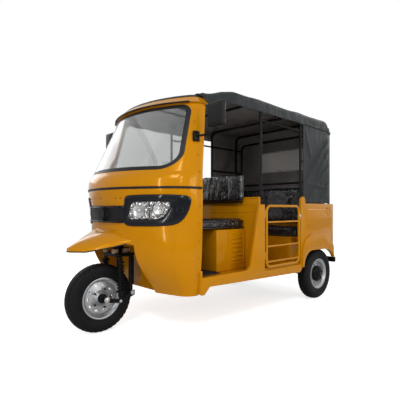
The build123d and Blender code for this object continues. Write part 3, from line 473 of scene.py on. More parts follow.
CLOTH = 0.0022
TOP_EDGE = 1.634
SKIRT_FRONT = 1.682
SKIRT_LOW = COVER_LOW.z + 0.004
HALF = COVER_HIGH.x - 0.002
TOP_START = 0.50
TOP_FULL = 0.80
TOP_END = COVER_HIGH.y - AXLE_Y - 0.002
CROWN = COVER_HIGH.z
SKIRT_TOP = 1.672
# The roof sheet's half width, shoulder and crown where it is gathered at the cab
NOSE_HALF, NOSE_SHOULDER, NOSE_CROWN = 0.560, 1.682, 1.696
# Shares of the half width at which the sheet's rounded corner and its hanging edge start
CORNER_AT, DROP_AT = 0.78, 0.88
CORNER_WIDE, CORNER_HIGH = 0.045, 0.040
REAR_CORNER = 0.035
BOWS = (1.087, 1.661, 2.069)
# Diagonal creases of a side curtain: start back and height, end back and height, width, depth
CURTAIN_CREASES = [
    (2.19, 1.60, 1.73, 1.14, 0.022, 0.017),
    (2.16, 1.46, 1.90, 1.16, 0.018, 0.012),
    (2.19, 1.34, 1.76, 0.97, 0.022, 0.015),
    (2.17, 1.16, 1.98, 0.95, 0.018, 0.011),
    (1.72, 1.62, 1.82, 1.34, 0.018, 0.010),
    (1.76, 1.10, 2.17, 1.07, 0.012, 0.008),
]


def smooth_step(value):
    value = max(0.0, min(1.0, value))
    return value * value * (3 - 2 * value)


def waver(point, scale, seed):
    return noise.noise(Vector(point) * scale + Vector((seed, seed * 0.7, seed * 1.3)))


def canopy_top(size):
    """The roof sheet: gathered at the cab, stretched over the bows and turned down at the rear."""
    rows = []
    backs = [TOP_START + (TOP_END - TOP_START) * i / 96 for i in range(97)]
    for back in backs:
        open_up = smooth_step((back - TOP_START) / (TOP_FULL - TOP_START))
        half = NOSE_HALF + (HALF - NOSE_HALF) * open_up
        shoulder = NOSE_SHOULDER + (CROWN - 0.030 - NOSE_SHOULDER) * open_up
        crown = NOSE_CROWN + (CROWN - 0.006 - NOSE_CROWN) * open_up
        low = TOP_EDGE
        slope = smooth_step((back - 2.09) / (TOP_END - 2.09)) * 0.108
        nearest = min(abs(back - bow) for bow in BOWS)
        sag = size.canvas_sag * smooth_step(nearest / 0.22) * open_up
        row = []
        for i in range(73):
            turn = -1.0 + 2.0 * i / 72
            side = 1.0 if turn >= 0 else -1.0
            reach = abs(turn)
            if reach > DROP_AT:
                drop = (reach - DROP_AT) / (1 - DROP_AT)
                x = half
                z = shoulder - CORNER_HIGH - (shoulder - CORNER_HIGH - low) * drop
            elif reach > CORNER_AT:
                corner = (reach - CORNER_AT) / (DROP_AT - CORNER_AT) * math.pi / 2
                x = half - CORNER_WIDE + CORNER_WIDE * math.sin(corner)
                z = shoulder - CORNER_HIGH + CORNER_HIGH * math.cos(corner)
            else:
                x = (half - CORNER_WIDE) * reach / CORNER_AT
                z = shoulder + (crown - shoulder) * (1 - (reach / CORNER_AT) ** 2)
            over = smooth_step((0.90 - reach) / 0.2)
            z -= sag * over + slope * (1.0 if reach < 0.82 else smooth_step((z - low) / 0.08))
            ripple = waver((x * side, back * 0.8, z), 8.0, 3.1) * size.fold_depth
            ripple -= abs(waver((x * side, back, z), 4.0, 9.4)) * size.fold_depth * 1.4
            lump = math.exp(-((back - 0.66) / 0.05) ** 2) + math.exp(-((back - 2.04) / 0.04) ** 2)
            gathered = smooth_step((reach - 0.45) / 0.3) * smooth_step((1.0 - open_up) * 2)
            ripple -= 0.012 * (1 - lump) * gathered
            gather = (1 - open_up) * 0.005 * math.sin(x * 70.0) * over
            edge = smooth_step((reach - 0.86) / 0.14)
            x -= abs(waver((back, side, z), 7.0, 5.7)) * size.fold_depth * edge * 1.2
            z += ripple * over + gather - 0.004 * edge * math.sin(back * 23.0 + side)
            turn_in = max(0.0, back - (TOP_END - REAR_CORNER))
            limit = HALF - REAR_CORNER + math.sqrt(max(0.0, REAR_CORNER ** 2 - turn_in ** 2)) + 0.004
            row.append(at(side * min(x, HALF, limit), back, min(z, CROWN)))
        rows.append(row)
    return two_faced(sheet_mesh("canopy_top", rows))


def skirt_line(inset):
    """Plan of the skirt, from the left side round the back to the right side."""
    half, end, radius = HALF - inset, TOP_END - inset, 0.03
    line = [(half, b) for b in (SKIRT_FRONT + (end - radius - SKIRT_FRONT) * i / 26 for i in range(27))]
    line += [(half - radius + radius * math.cos(a), end - radius + radius * math.sin(a))
             for a in (math.radians(90.0 * i / 6) for i in range(1, 6))]
    line += [((half - radius) * (1 - 2 * i / 60), end) for i in range(61)]
    back = [(-x, b) for x, b in reversed(line[:32])]
    return line + back


def crease(back, height):
    """How far the side curtain's creases push it outward."""
    total = 0.0
    for b0, z0, b1, z1, width, depth in CURTAIN_CREASES:
        way = Vector((b1 - b0, z1 - z0))
        spot = Vector((back - b0, height - z0))
        along = spot.dot(way) / way.length_squared
        if -0.1 < along < 1.1:
            off = (spot - way * along).length / width
            total += depth * math.exp(-1.3 * off) * smooth_step(min(along + 0.1, 1.1 - along) * 4)
    return total


def canopy_skirt(size):
    """Side curtains and back curtain as one sheet round the rear, with the window left out."""
    window_low, window_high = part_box("rear_window")
    line = skirt_line(0.004)
    heights = [SKIRT_LOW + (SKIRT_TOP - SKIRT_LOW) * i / 60 for i in range(61)]
    rows = []
    for z in heights:
        row = []
        for x, back in line:
            side = 1.0 if x >= 0 else -1.0
            free = smooth_step((z - SKIRT_LOW) / 0.10) * smooth_step((1.638 - z) / 0.14)
            wave = waver((x, back, z * 0.7), 6.0, 8.2) * size.fold_depth
            if back < TOP_END - 0.05:
                push = (crease(back, z) * size.fold_depth / 0.008 + wave * 0.7) * free
                push = max(-0.001, min(0.016, push))
                row.append(at(x + side * push, back, z))
            else:
                beside = smooth_step((abs(x) - window_high.x - 0.01) / 0.1)
                above = smooth_step((abs(z - 1.4) - 0.12) / 0.08)
                clear = smooth_step((z - 1.12) / 0.08)
                push = -abs(wave) * 1.3 * free * max(beside, above) * clear
                row.append(at(x, back + push, z))
        rows.append(row)
    piece = sheet_mesh("canopy_skirt", rows)
    pick(piece)
    bpy.ops.object.mode_set(mode="EDIT")
    bpy.ops.mesh.select_all(action="DESELECT")
    bpy.ops.object.mode_set(mode="OBJECT")
    for face in piece.data.polygons:
        c = face.center
        face.select = (c.y > window_low.y - 0.02 and abs(c.x) < window_high.x - 0.004
                       and window_low.z + 0.004 < c.z < window_high.z - 0.004)
    bpy.ops.object.mode_set(mode="EDIT")
    bpy.ops.mesh.delete(type="FACE")
    bpy.ops.object.mode_set(mode="OBJECT")
    return two_faced(piece)


def build_canopy(size):
    top = done(canopy_top(size), "canopy_top", "canvas", smooth=70.0, lined=True,
               replaces=("canopy_cover",))
    skirt = done(canopy_skirt(size), "canopy_skirt", "canvas", smooth=70.0, lined=True,
                 replaces=("canopy_cover",))
    seams = []
    for side in (1, -1):
        edge = [at(side * (HALF - 0.002), b, TOP_EDGE + 0.004)
                for b in (0.82, 1.1, 1.4, 1.7, 2.0, TOP_END - 0.05)]
        seams.append(pipe(edge, 0.0040, 8))
        seams.append(pipe([at(side * (HALF - 0.004), SKIRT_FRONT + 0.004, z)
                           for z in (SKIRT_LOW, 1.2, 1.64)], 0.0045, 8))
        seams.append(pipe([at(side * (HALF - 0.013), TOP_END - 0.013, z) for z in (SKIRT_LOW, 1.2, 1.62)],
                          0.0040, 8))
        seams.append(pipe([at(side * (HALF - 0.006), b, SKIRT_LOW + 0.004)
                           for b in (SKIRT_FRONT, 1.9, TOP_END - 0.03)], 0.0050, 8))
        for bow in BOWS[1:]:
            arch = [at(side * x, bow, CROWN - 0.006 - 0.022 * (x / 0.55) ** 2)
                    for x in (0.0, 0.2, 0.4, 0.545)]
            seams.append(pipe(arch, 0.0030, 8))
    seams.append(pipe([at(x, TOP_END - 0.006, SKIRT_LOW + 0.004) for x in (-0.56, 0.0, 0.56)], 0.0050, 8))
    hems = done(join(seams), "canopy_hems", "canvas", smooth=60.0)
    low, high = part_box("rear_window")
    y = high.y + 0.004
    corners = [(low.x, low.z), (high.x, low.z), (high.x, high.z), (low.x, high.z)]
    frame_line = []
    for (x0, z0), (x1, z1) in zip(corners, corners[1:] + corners[:1]):
        frame_line += [Vector((x0 + (x1 - x0) * t, y, z0 + (z1 - z0) * t)) for t in (0.06, 0.5, 0.94)]
    outside = pipe(frame_line, 0.005, 8, closed=True)
    inside = pipe([Vector((p.x, low.y - 0.004, p.z)) for p in frame_line], 0.005, 8, closed=True)
    piping = done(join([outside, inside]), "window_piping", "piping", smooth=60.0)


# ---- Seats


def stuffed(node, swell, voxel, seed, pins=(), crush=0.004):
    """A cushion that fills its node's box: a block blown up as cloth, held at its sewn lines."""
    low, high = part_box(node)
    size = high - low
    slack = swell * 0.5
    piece = block([size[i] - 2 * slack for i in range(3)], (low + high) / 2, min(size) * 0.20, 4)
    shape(piece, "REMESH", mode="VOXEL", voxel_size=voxel)
    rest = [v.co.copy() for v in piece.data.vertices]
    group = piece.vertex_groups.new(name="sewn")
    for vertex in piece.data.vertices:
        for axis, place in pins:
            if abs(vertex.co[axis] - place) < voxel * 0.75:
                group.add([vertex.index], 1.0, "ADD")
    cloth = piece.modifiers.new("Filling", "CLOTH")
    cloth.settings.use_pressure = True
    cloth.settings.uniform_pressure_force = 4.0
    cloth.settings.effector_weights.gravity = 0.0
    cloth.settings.quality = 4
    if pins:
        cloth.settings.vertex_group_mass = "sewn"
    scene = bpy.context.scene
    for step in range(1, 19):
        scene.frame_set(step)
    pick(piece)
    bpy.ops.object.modifier_apply(modifier=cloth.name)
    scene.frame_set(1)
    piece.vertex_groups.clear()
    for vertex, start in zip(piece.data.vertices, rest):
        move = vertex.co - start
        for i in range(3):
            if move[i] * (start[i] - (low[i] + high[i]) / 2) < 0:
                move[i] *= 0.2
        if move.length > swell:
            move *= swell / move.length
        spot = start + move
        away = (spot - (low + high) / 2).normalized()
        rough = waver(spot, 14.0, seed) + 0.5 * waver(spot, 31.0, seed + 4)
        spot += away * rough * crush
        room = 0.004 if "cushion" in node else 0.0
        vertex.co = [max(low[i] + 0.0005, min(high[i] + (room if i == 2 else 0.0), spot[i]))
                     for i in range(3)]
    shape(piece, "SUBSURF", levels=1, render_levels=1)
    return piece


def edge_piping(node, height, inset, radius=0.0045, corner=0.05):
    """Sewn piping round a cushion at a height."""
    low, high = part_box(node)
    x0, x1, y0, y1 = low.x + inset, high.x - inset, low.y + inset, high.y - inset
    c = corner
    line = [(x0 + c, y0), (x1 - c, y0), (x1, y0), (x1, y0 + c), (x1, y1 - c), (x1, y1), (x1 - c, y1),
            (x0 + c, y1), (x0, y1), (x0, y1 - c), (x0, y0 + c), (x0, y0)]
    return pipe([Vector((x, y, height)) for x, y in line], radius, 8, closed=True)


def build_seats(size):
    # node, voxel, swell, seed, sewn lines as (axis, place)
    bench_x = [(0, x) for x in (-0.19, 0.19)]
    seats = [
        ("driver_cushion", 0.011, 0.012, 1.0, [(0, x) for x in (-0.15, 0.15)]),
        ("driver_backrest", 0.010, 0.012, 2.0, [(0, x) for x in (-0.30, 0.0, 0.30)]),
        ("bench_cushion", 0.012, 0.014, 3.0, bench_x),
        ("bench_backrest", 0.012, 0.014, 4.0, bench_x),
    ]
    for node, voxel, swell, seed, pins in seats:
        crush = 0.006 if "backrest" in node else 0.004
        piece = stuffed(node, swell * size.cushion_swell, voxel, seed, pins, crush=crush)
        done(piece, node + "_pad", "vinyl", smooth=80.0, replaces=(node,))
    trims = []
    for node in ("driver_cushion", "bench_cushion"):
        low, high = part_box(node)
        trims += [edge_piping(node, high.z - 0.017, 0.0095, corner=0.022),
                  edge_piping(node, low.z + 0.014, 0.0095, corner=0.022)]
    done(join(trims), "seat_piping", "vinyl", smooth=60.0)
    low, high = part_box("driver_backrest")
    base = block((high.x - low.x - 0.02, 0.018, 0.014),
                 (0, middle("driver_backrest").y, low.z - 0.007), 0.004)
    legs = [rod((x, high.y - 0.02, 0.955), (x, high.y - 0.02, low.z + 0.01), 0.010)
            for x in (-0.33, 0.33)]
    done(join([base] + legs), "backrest_frame", "black_paint")


# ---- Wheels


def tyre_profile():
    """Closed half turned outline of a tyre: along the axle and from it."""
    right = [(0.0, 0.2395), (0.008, 0.2393), (0.0095, 0.2335), (0.0125, 0.2335), (0.014, 0.2389),
             (0.026, 0.2370), (0.0275, 0.2310), (0.0305, 0.2300), (0.032, 0.2348), (0.044, 0.2270),
             (0.0492, 0.2180), (0.0515, 0.2030), (0.0520, 0.1900), (0.0505, 0.1760), (0.0465, 0.1600),
             (0.0440, 0.1500), (0.0445, 0.1440), (0.0420, 0.1400), (0.038, 0.1402)]
    left = [(-a, r) for a, r in reversed(right[1:])]
    return right + left


def nut_ring(place, out, reach, first, length, radius):
    """Five nuts round a hub: how far out they stand, their pitch radius, first angle and size."""
    nuts = []
    for k in range(5):
        turn = math.radians(72 * k + first)
        spot = place + Vector((out, reach * math.sin(turn), reach * math.cos(turn)))
        nuts.append(rod(spot, spot + Vector((math.copysign(length, out), 0, 0)), radius, 6))
    return nuts


def build_wheels(size):
    wheels = [
        ("front", FRONT_AXLE, "front_wheel", 1.0),
        ("rear_left", Vector((TRACK_X, REAR_AXLE_Y, WHEEL_R)), "rear_wheel_left", 1.0),
        ("rear_right", Vector((-TRACK_X, REAR_AXLE_Y, WHEEL_R)), "rear_wheel_right", -1.0),
    ]
    steps = 160
    for name, place, body, outer in wheels:
        place = Vector((place.x, place.y, WHEEL_R))
        tyre = lathe(tyre_profile(), (0, 0, 0), steps=steps)
        for vertex in tyre.data.vertices:
            x, y, z = vertex.co
            radius = math.hypot(y, z)
            if radius < 0.2:
                continue
            step = round(math.atan2(y, z) / (2 * math.pi) * steps)
            cut = 0.0
            if abs(x) > 0.030 and (step + (2 if x > 0 else 0)) % 4 == 0 and radius > 0.214:
                cut = size.tread_depth
            elif 0.0135 < abs(x) < 0.0275 and step % 4 == 2:
                cut = size.tread_depth * 0.6
            elif abs(x) < 0.009 and step % 8 == 0:
                cut = size.tread_depth * 0.4
            scale = (radius - cut) / radius
            vertex.co = (x, y * scale, z * scale)
        tyre.data.transform(Matrix.Translation(place))
        done(tyre, name + "_tyre_tread", "tyre", body, smooth=28.0, replaces=(name + "_tyre",))
        bead = [(0.046, 0.1345), (0.0475, 0.139), (0.0465, 0.1435), (0.0435, 0.144), (0.0435, 0.1345)]
        trims = [lathe(bead, place, steps=72, flip=flip) for flip in (False, True)]
        done(join(trims), name + "_rim_beads", "rim", body, smooth=50.0)
        if name == "front":
            cap = [(0.040, 0.0005), (0.040, 0.034), (0.050, 0.034), (0.060, 0.030), (0.070, 0.022),
                   (0.073, 0.0005)]
            caps = [lathe(cap, place, steps=40, flip=flip) for flip in (False, True)]
            for side in (1, -1):
                caps += nut_ring(place, side * 0.034, 0.066, 18, 0.014, 0.0075)
            done(join(caps), "front_hub_caps", "black_paint", body, smooth=30.0)
        else:
            disc = lathe([(0.024, 0.0005), (0.024, 0.076), (0.034, 0.076), (0.044, 0.070), (0.050, 0.056),
                          (0.053, 0.030), (0.062, 0.028), (0.066, 0.0005)], place, steps=56, flip=outer < 0)
            parts = [disc] + nut_ring(place, outer * 0.044, 0.050, 0, 0.016, 0.0080)
            done(join(parts), name + "_hub_cap", "black_paint", body, smooth=30.0)
        valve = pipe([place + Vector((outer * 0.038, 0, 0.120)), place + Vector((outer * 0.050, 0, 0.112))],
                     0.0035, 8)
        done(valve, name + "_valve", "steel", body)


# ---- Fork


def build_fork(size):
    low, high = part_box("fork_shocks")
    link_x = high.x - 0.020
    y = middle("fork_shocks").y
    z0, z1 = low.z, high.z
    springs, bodies = [], []
    for side in (1, -1):
        x = side * link_x
        turns = size.spring_turns
        count = turns * 14
        coil = [Vector((x + 0.0235 * math.cos(2 * math.pi * turns * i / count),
                        y + 0.0235 * math.sin(2 * math.pi * turns * i / count),
                        z0 + 0.058 + (z1 - z0 - 0.104) * i / count)) for i in range(count + 1)]
        springs.append(pipe(coil, 0.0043, 8))
        profile = [(0.0, 0.0005), (0.0, 0.009), (0.012, 0.014), (0.040, 0.014), (0.042, 0.028),
                   (0.054, 0.028),
                   (0.058, 0.015), (z1 - z0 - 0.048, 0.015), (z1 - z0 - 0.044, 0.028),
                   (z1 - z0 - 0.030, 0.028), (z1 - z0 - 0.028, 0.014), (z1 - z0, 0.012), (z1 - z0, 0.0005)]
        bodies.append(lathe(profile, (x, y, z0), axis="Z", steps=28))
        for height in (z0 + 0.018, z1 - 0.014):
            bodies.append(rod((x - 0.022, y, height), (x + 0.022, y, height), 0.0075, 12, 0.0015))
    done(join(bodies), "shock_bodies", "black_paint", "fork", replaces=("fork_shocks",))
    done(join(springs), "shock_springs", "black_paint", "fork", smooth=60.0)
    bolts = []
    for side in (1, -1):
        x = side * (link_x + 0.005)
        for back, height, radius in ((0.0, WHEEL_R, 0.014), (0.200, 0.262, 0.011), (0.105, 0.215, 0.008)):
            start = at(x, back, height)
            bolts.append(rod(start, start + Vector((side * 0.010, 0, 0)), radius, 6, 0.001))
            bolts.append(rod(start, start + Vector((side * 0.003, 0, 0)), radius * 1.35, 20))
    done(join(bolts), "fork_nuts", "steel", "fork", smooth=30.0)
    crown_z = 0.548
    blocks = []
    for x, back in ((0.062, 0.088), (-0.062, 0.088), (0.062, 0.175), (-0.062, 0.175)):
        blocks.append(block((0.034, 0.042, 0.034), at(x, back, crown_z + 0.0165), 0.008, 3))
    done(join(blocks), "crown_buffers", "buffer", "fork", smooth=50.0)
    plate = block((0.16, 0.12, 0.005), at(0, 0.138, crown_z + 0.0355), 0.002)
    legs = [block((0.030, 0.010, 0.20), at(side * 0.086, 0.216, 0.42), 0.004) for side in (1, -1)]
    done(join([plate] + legs), "crown_plate", "black_paint", "fork")


def build_handlebar():
    parts, levers = [], []
    for side in (1, -1):
        outer = Vector((side * 0.332, AXLE_Y + 0.3756, 1.0252))
        inner = Vector((side * 0.225, AXLE_Y + 0.3410, 1.0335))
        way = (outer - inner).normalized()
        parts.append(rod(inner, outer, 0.0165, 20, 0.003))
        for k in range(9):
            spot = inner + way * (0.012 + 0.011 * k)
            parts.append(rod(spot, spot + way * 0.004, 0.0182, 20))
        housing = inner - way * 0.022
        parts.append(rod(housing - way * 0.018, housing + way * 0.018, 0.024, 20, 0.004))
        start = housing - Vector((0, 0.022, 0))
        levers.append(pipe([housing, start, start + way * 0.05 - Vector((0, 0.02, 0.004)),
                            start + way * 0.13 - Vector((0, 0.012, 0.004))], 0.0045, 8))
    done(join(parts), "bar_grips", "black_plastic", "fork")
    done(join(levers), "bar_levers", "steel", "fork")


# ---- Front of the cab


def nose(x):
    """How far the cab's bowed front lies behind the front axle at a distance off the middle."""
    return 0.765 - math.sqrt(0.75 ** 2 - x * x)


CAB = BVHTree.FromPolygons([v.co.copy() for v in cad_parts["cab_shell"].data.vertices],
                           [tuple(f.vertices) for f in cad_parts["cab_shell"].data.polygons])
# Front view outlines of a lamp's bezel and its lens
BEZEL = [(0.222, 0.775), (0.222, 0.884), (0.246, 0.890), (0.254, 0.944), (0.292, 0.957), (0.588, 0.959),
         (0.604, 0.935), (0.593, 0.850), (0.572, 0.785), (0.528, 0.751), (0.268, 0.747), (0.238, 0.762)]
LENS = [(0.262, 0.797), (0.299, 0.908), (0.522, 0.912), (0.519, 0.868), (0.488, 0.820), (0.452, 0.797)]
LAMP = Vector((0.392, 0.853))


def on_cab(x, z, rise=0.0):
    """The point of the cab's front at a width and height, raised off it, and the way it faces."""
    hit, normal, _, _ = CAB.ray_cast(Vector((x, -3.0, z)), Vector((0, 1, 0)))
    normal = -normal if normal.y > 0 else normal
    return hit + normal * rise, normal


def rounded(points, centre, cut=0.22, count=96):
    """An outline with its corners cut round, met by even rays from a centre."""
    line = [Vector(p) for p in points]
    for _ in range(3):
        line = [a.lerp(b, t) for a, b in zip(line, line[1:] + line[:1]) for t in (cut, 1 - cut)]
    loop = []
    for k in range(count):
        ray = Vector((math.cos(2 * math.pi * k / count), math.sin(2 * math.pi * k / count)))
        for a, b in zip(line, line[1:] + line[:1]):
            side = b - a
            cross = ray.x * side.y - ray.y * side.x
            if abs(cross) < 1e-9:
                continue
            gap = a - centre
            reach = (gap.x * side.y - gap.y * side.x) / cross
            along = (gap.x * ray.y - gap.y * ray.x) / cross
            if reach > 0 and -1e-6 <= along <= 1 + 1e-6:
                loop.append(centre + ray * reach)
                break
    return loop


def on_face(side, loops):
    """A skin through loops of front view points, each loop with its rise off the cab."""
    rows = []
    for loop, rise in loops:
        row = [on_cab(side * p.x, p.y, rise)[0] for p in loop]
        rows.append(row + row[:1])
    return weld(sheet_mesh("face", rows))


def toward(loop, other, share):
    return [a.lerp(b, share) for a, b in zip(loop, other)]


def build_front():
    outer, inner = rounded(BEZEL, LAMP), rounded(LENS, LAMP, 0.10)
    point = [LAMP.copy() for _ in inner]
    bezels, lenses, backs, bowls, bars = [], [], [], [], []
    for side in (1, -1):
        bezels.append(on_face(side, [
            (outer, -0.002), (outer, 0.004), (toward(outer, inner, 0.03), 0.0075),
            (toward(outer, inner, 0.07), 0.009), (toward(outer, inner, 0.5), 0.0095),
            (toward(inner, outer, 0.12), 0.009), (toward(inner, outer, 0.05), 0.0072), (inner, 0.003),
            (inner, -0.001)]))
        lenses.append(on_face(side, [(inner, 0.002), (toward(inner, point, 0.02), 0.0065),
                                     (toward(inner, point, 0.08), 0.0095),
                                     (toward(inner, point, 0.5), 0.0115),
                                     (toward(inner, point, 0.999), 0.012)]))
        backs.append(on_face(side, [(inner, 0.0005), (toward(inner, point, 0.10), 0.0025),
                                    (toward(inner, point, 0.6), 0.0008),
                                    (toward(inner, point, 0.999), 0.0008)]))
        for x, z, radius in ((0.346, 0.851, 0.042), (0.462, 0.864, 0.034)):
            spot, way = on_cab(side * x, z, 0.0012)
            turn = way.to_track_quat("X", "Z").to_matrix().to_4x4()
            bowls.append(lathe([(0.0, 0.0005), (0.0, radius), (0.0075, radius), (0.0060, radius * 0.93),
                                (0.0020, radius * 0.6), (0.0012, radius * 0.3), (0.0065, radius * 0.24),
                                (0.0075, 0.0005)], spot, axis=turn, steps=40))
        bars.append(pipe([on_cab(side * x, z, 0.0065)[0]
                          for x, z in ((0.416, 0.908), (0.414, 0.85), (0.410, 0.799))], 0.0035, 8))
    done(join(bezels), "bezel_mouldings", "black_gloss", smooth=50.0, replaces=("lamp_bezels",))
    done(join(lenses), "lamp_lenses", "lens", smooth=60.0, replaces=("headlamps",))
    done(join(backs), "lamp_reflectors", "reflector")
    done(join(bowls), "lamp_bowls", "steel", smooth=60.0)
    done(join(bars), "lamp_dividers", "black_gloss")
    low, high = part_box("nose_grille")
    beads = []
    for z in (low.z + 0.010, high.z - 0.010):
        line = [at(x, nose(x) - 0.009, z) for x in (-0.21, -0.13, -0.06, 0.0, 0.06, 0.13, 0.21)]
        beads.append(pipe(line, 0.0045, 8))
    done(join(beads), "grille_beads", "black_gloss")
    low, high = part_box("horn")
    centre = Vector(((low.x + high.x) / 2, low.y - 0.001, (low.z + high.z) / 2))
    rings = lathe([(0.0, 0.0005), (0.0, 0.040), (0.004, 0.040), (0.004, 0.034), (0.001, 0.031),
                   (0.001, 0.024), (0.005, 0.021), (0.005, 0.012), (0.002, 0.010), (0.006, 0.006),
                   (0.006, 0.0005)],
                  centre, axis=Matrix.Rotation(-math.pi / 2, 4, "Z"), steps=44)
    done(rings, "horn_face", "black_plastic", smooth=30.0)
    plugs, screws = [], []
    for side in (1, -1):
        spot, way = on_cab(side * 0.563, 0.863, 0.008)
        turn = way.to_track_quat("X", "Z").to_matrix().to_4x4()
        plugs.append(lathe([(0.0, 0.0005), (0.0, 0.023), (0.004, 0.023), (0.006, 0.020), (0.004, 0.017),
                            (0.001, 0.014), (0.004, 0.010), (0.004, 0.0005)], spot, axis=turn, steps=32))
        for z in [0.42 + 0.115 * k for k in range(10)]:
            x = cab_side(z) + 0.001
            screws.append(rod(at(side * (x - 0.002), SCREWS_BACK, z), at(side * (x + 0.002), SCREWS_BACK, z),
                              0.0032, 10, 0.001))
    done(join(plugs), "bezel_plugs", "black_gloss", smooth=30.0)
    for x in (-0.217, -0.174, 0.0, 0.174, 0.217):
        spot, way = on_cab(x, 0.937)
        screws.append(rod(spot - way * 0.003, spot + way * 0.002, 0.0042, 12, 0.001))
    done(join(screws), "cab_screws", "black_paint")


# How far the cab's open edge and its row of screws lie behind the front axle
EDGE_BACK, SCREWS_BACK = 0.422, 0.404
# Half width of the cab at its open edge: height, half width
CAB_EDGE = [(0.28, 0.572), (0.41, 0.592), (0.62, 0.607), (0.90, 0.612), (1.11, 0.610), (1.60, 0.532)]


def cab_side(height):
    for (z0, x0), (z1, x1) in zip(CAB_EDGE, CAB_EDGE[1:]):
        if height <= z1:
            return x0 + (x1 - x0) * (height - z0) / (z1 - z0)
    return CAB_EDGE[-1][1]


def build_cab_trims(size):
    fender = from_node("front_fender")
    low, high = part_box("front_fender")
    for vertex in fender.data.vertices:
        root = smooth_step((vertex.co.y - low.y - 0.06) / (high.y - low.y - 0.10))
        shoulder = math.exp(-((abs(vertex.co.x) / high.x - 0.5) / 0.3) ** 2)
        vertex.co.z += size.fender_rise * root * shoulder
    done(fender, "fender_skin", "paint", smooth=50.0, replaces=("front_fender",))
    beads = []
    for side in (1, -1):
        line = [at(side * (cab_side(z) - 0.004), EDGE_BACK + max(0.0, 0.1 * (z - 1.11) / 0.49), z)
                for z in (0.30, 0.36, 0.45, 0.60, 0.75, 0.90, 1.02, 1.11, 1.25, 1.40, 1.58)]
        beads.append(pipe(line, 0.009, 12))
        beads.append(block((0.046, 0.018, 0.16), at(side * 0.586, 0.424, 0.368), 0.005))
    done(join(beads), "cab_edge_beads", "paint", smooth=60.0)
    cut = (0, 0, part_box("cab_roof")[1].z - 0.016)
    cap = edit(from_node("cab_roof"), lambda: bpy.ops.transform.shrink_fatten(value=0.0022),
               lambda: bpy.ops.mesh.bisect(plane_co=cut, plane_no=(0, 0, 1), clear_inner=True,
                                           use_fill=False))
    done(cap, "roof_cap", "seal")
    lip = []
    for x in [-0.50 + 0.1 * k for k in range(11)]:
        lip.append(at(x, 0.262 + 0.9 - math.sqrt(0.9 ** 2 - x * x) - 0.006, 1.602))
    done(pipe(lip, 0.006, 10), "header_lip", "seal", smooth=60.0)
    visor = []
    for x in [-0.42 + 0.12 * k for k in range(8)]:
        visor.append(at(x, 0.300 + 0.9 - math.sqrt(0.9 ** 2 - x * x), 1.588))
    done(pipe(visor, 0.012, 10), "visor_roll", "black_plastic", smooth=60.0)
    # A thin black line along the fender's lower lip: painted shade standing in for the lip's shaded
    # underside
    lip = [at(x, b, z) for x, b, z in (
        (-0.2725, 0.060, 0.632), (-0.1965, -0.040, 0.603), (-0.104, -0.150, 0.579),
        (-0.018, -0.2235, 0.579), (0.018, -0.2235, 0.579), (0.104, -0.150, 0.579),
        (0.1965, -0.040, 0.603), (0.2725, 0.060, 0.632))]
    done(pipe(lip, 0.004, 8, smooth=False), "fender_lip_painted_shade", "seal")


# ---- Body


def build_body():
    soft_nodes = [
        ("body_side_left", 0.006, "paint"), ("body_side_right", 0.006, "paint"),
        ("rear_panel", 0.004, "paint"), ("partition", 0.005, "paint"),
        ("engine_cover", 0.010, "paint"), ("bench_base", 0.004, "paint"),
        ("bumper", 0.006, "black_paint"), ("dashboard", 0.008, "black_plastic"),
    ]
    for node, width, finish in soft_nodes:
        piece = soften(from_node(node), width, 3, 40.0)
        done(piece, node + "_skin", finish, smooth=40.0, replaces=(node,))
    ribs = []
    low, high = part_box("engine_cover")
    for side in (1, -1):
        x = high.x * side
        for k in range(6):
            z = 0.465 + 0.034 * k
            ribs.append(block((0.012, 0.125, 0.016), (x, high.y - 0.105, z), 0.005, 3))
        ribs += [block((0.008, 0.16, 0.008), (x, high.y - 0.105, z), 0.003) for z in (0.435, 0.668)]
        ribs += [block((0.008, 0.008, 0.235), (x, high.y - gap, 0.5515), 0.003) for gap in (0.183, 0.027)]
    ribs += [block((0.008, 0.008, 0.20), (x, low.y, 0.52), 0.003) for x in (-0.22, 0.0, 0.22)]
    done(join(ribs), "engine_cover_ribs", "paint")
    part_low, part_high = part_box("partition")
    grooves = [block((part_high.x * 2 - 0.08, 0.006, 0.010), (0, part_low.y, z), 0.003)
               for z in (0.90, 0.84)]
    rim_y = middle("partition").y
    grooves.append(block((part_high.x * 2 - 0.01, 0.026, 0.012), (0, rim_y, part_high.z), 0.005))
    done(join(grooves), "partition_beads", "paint")
    arms = []
    for side in (1, -1):
        arms.append(pipe([at(side * 0.598, 0.965, 0.50), at(side * 0.585, 1.02, 0.68),
                          at(side * 0.590, 1.045, 0.86)], 0.010, 10))
    done(join(arms), "pillar_braces", "paint", smooth=60.0)


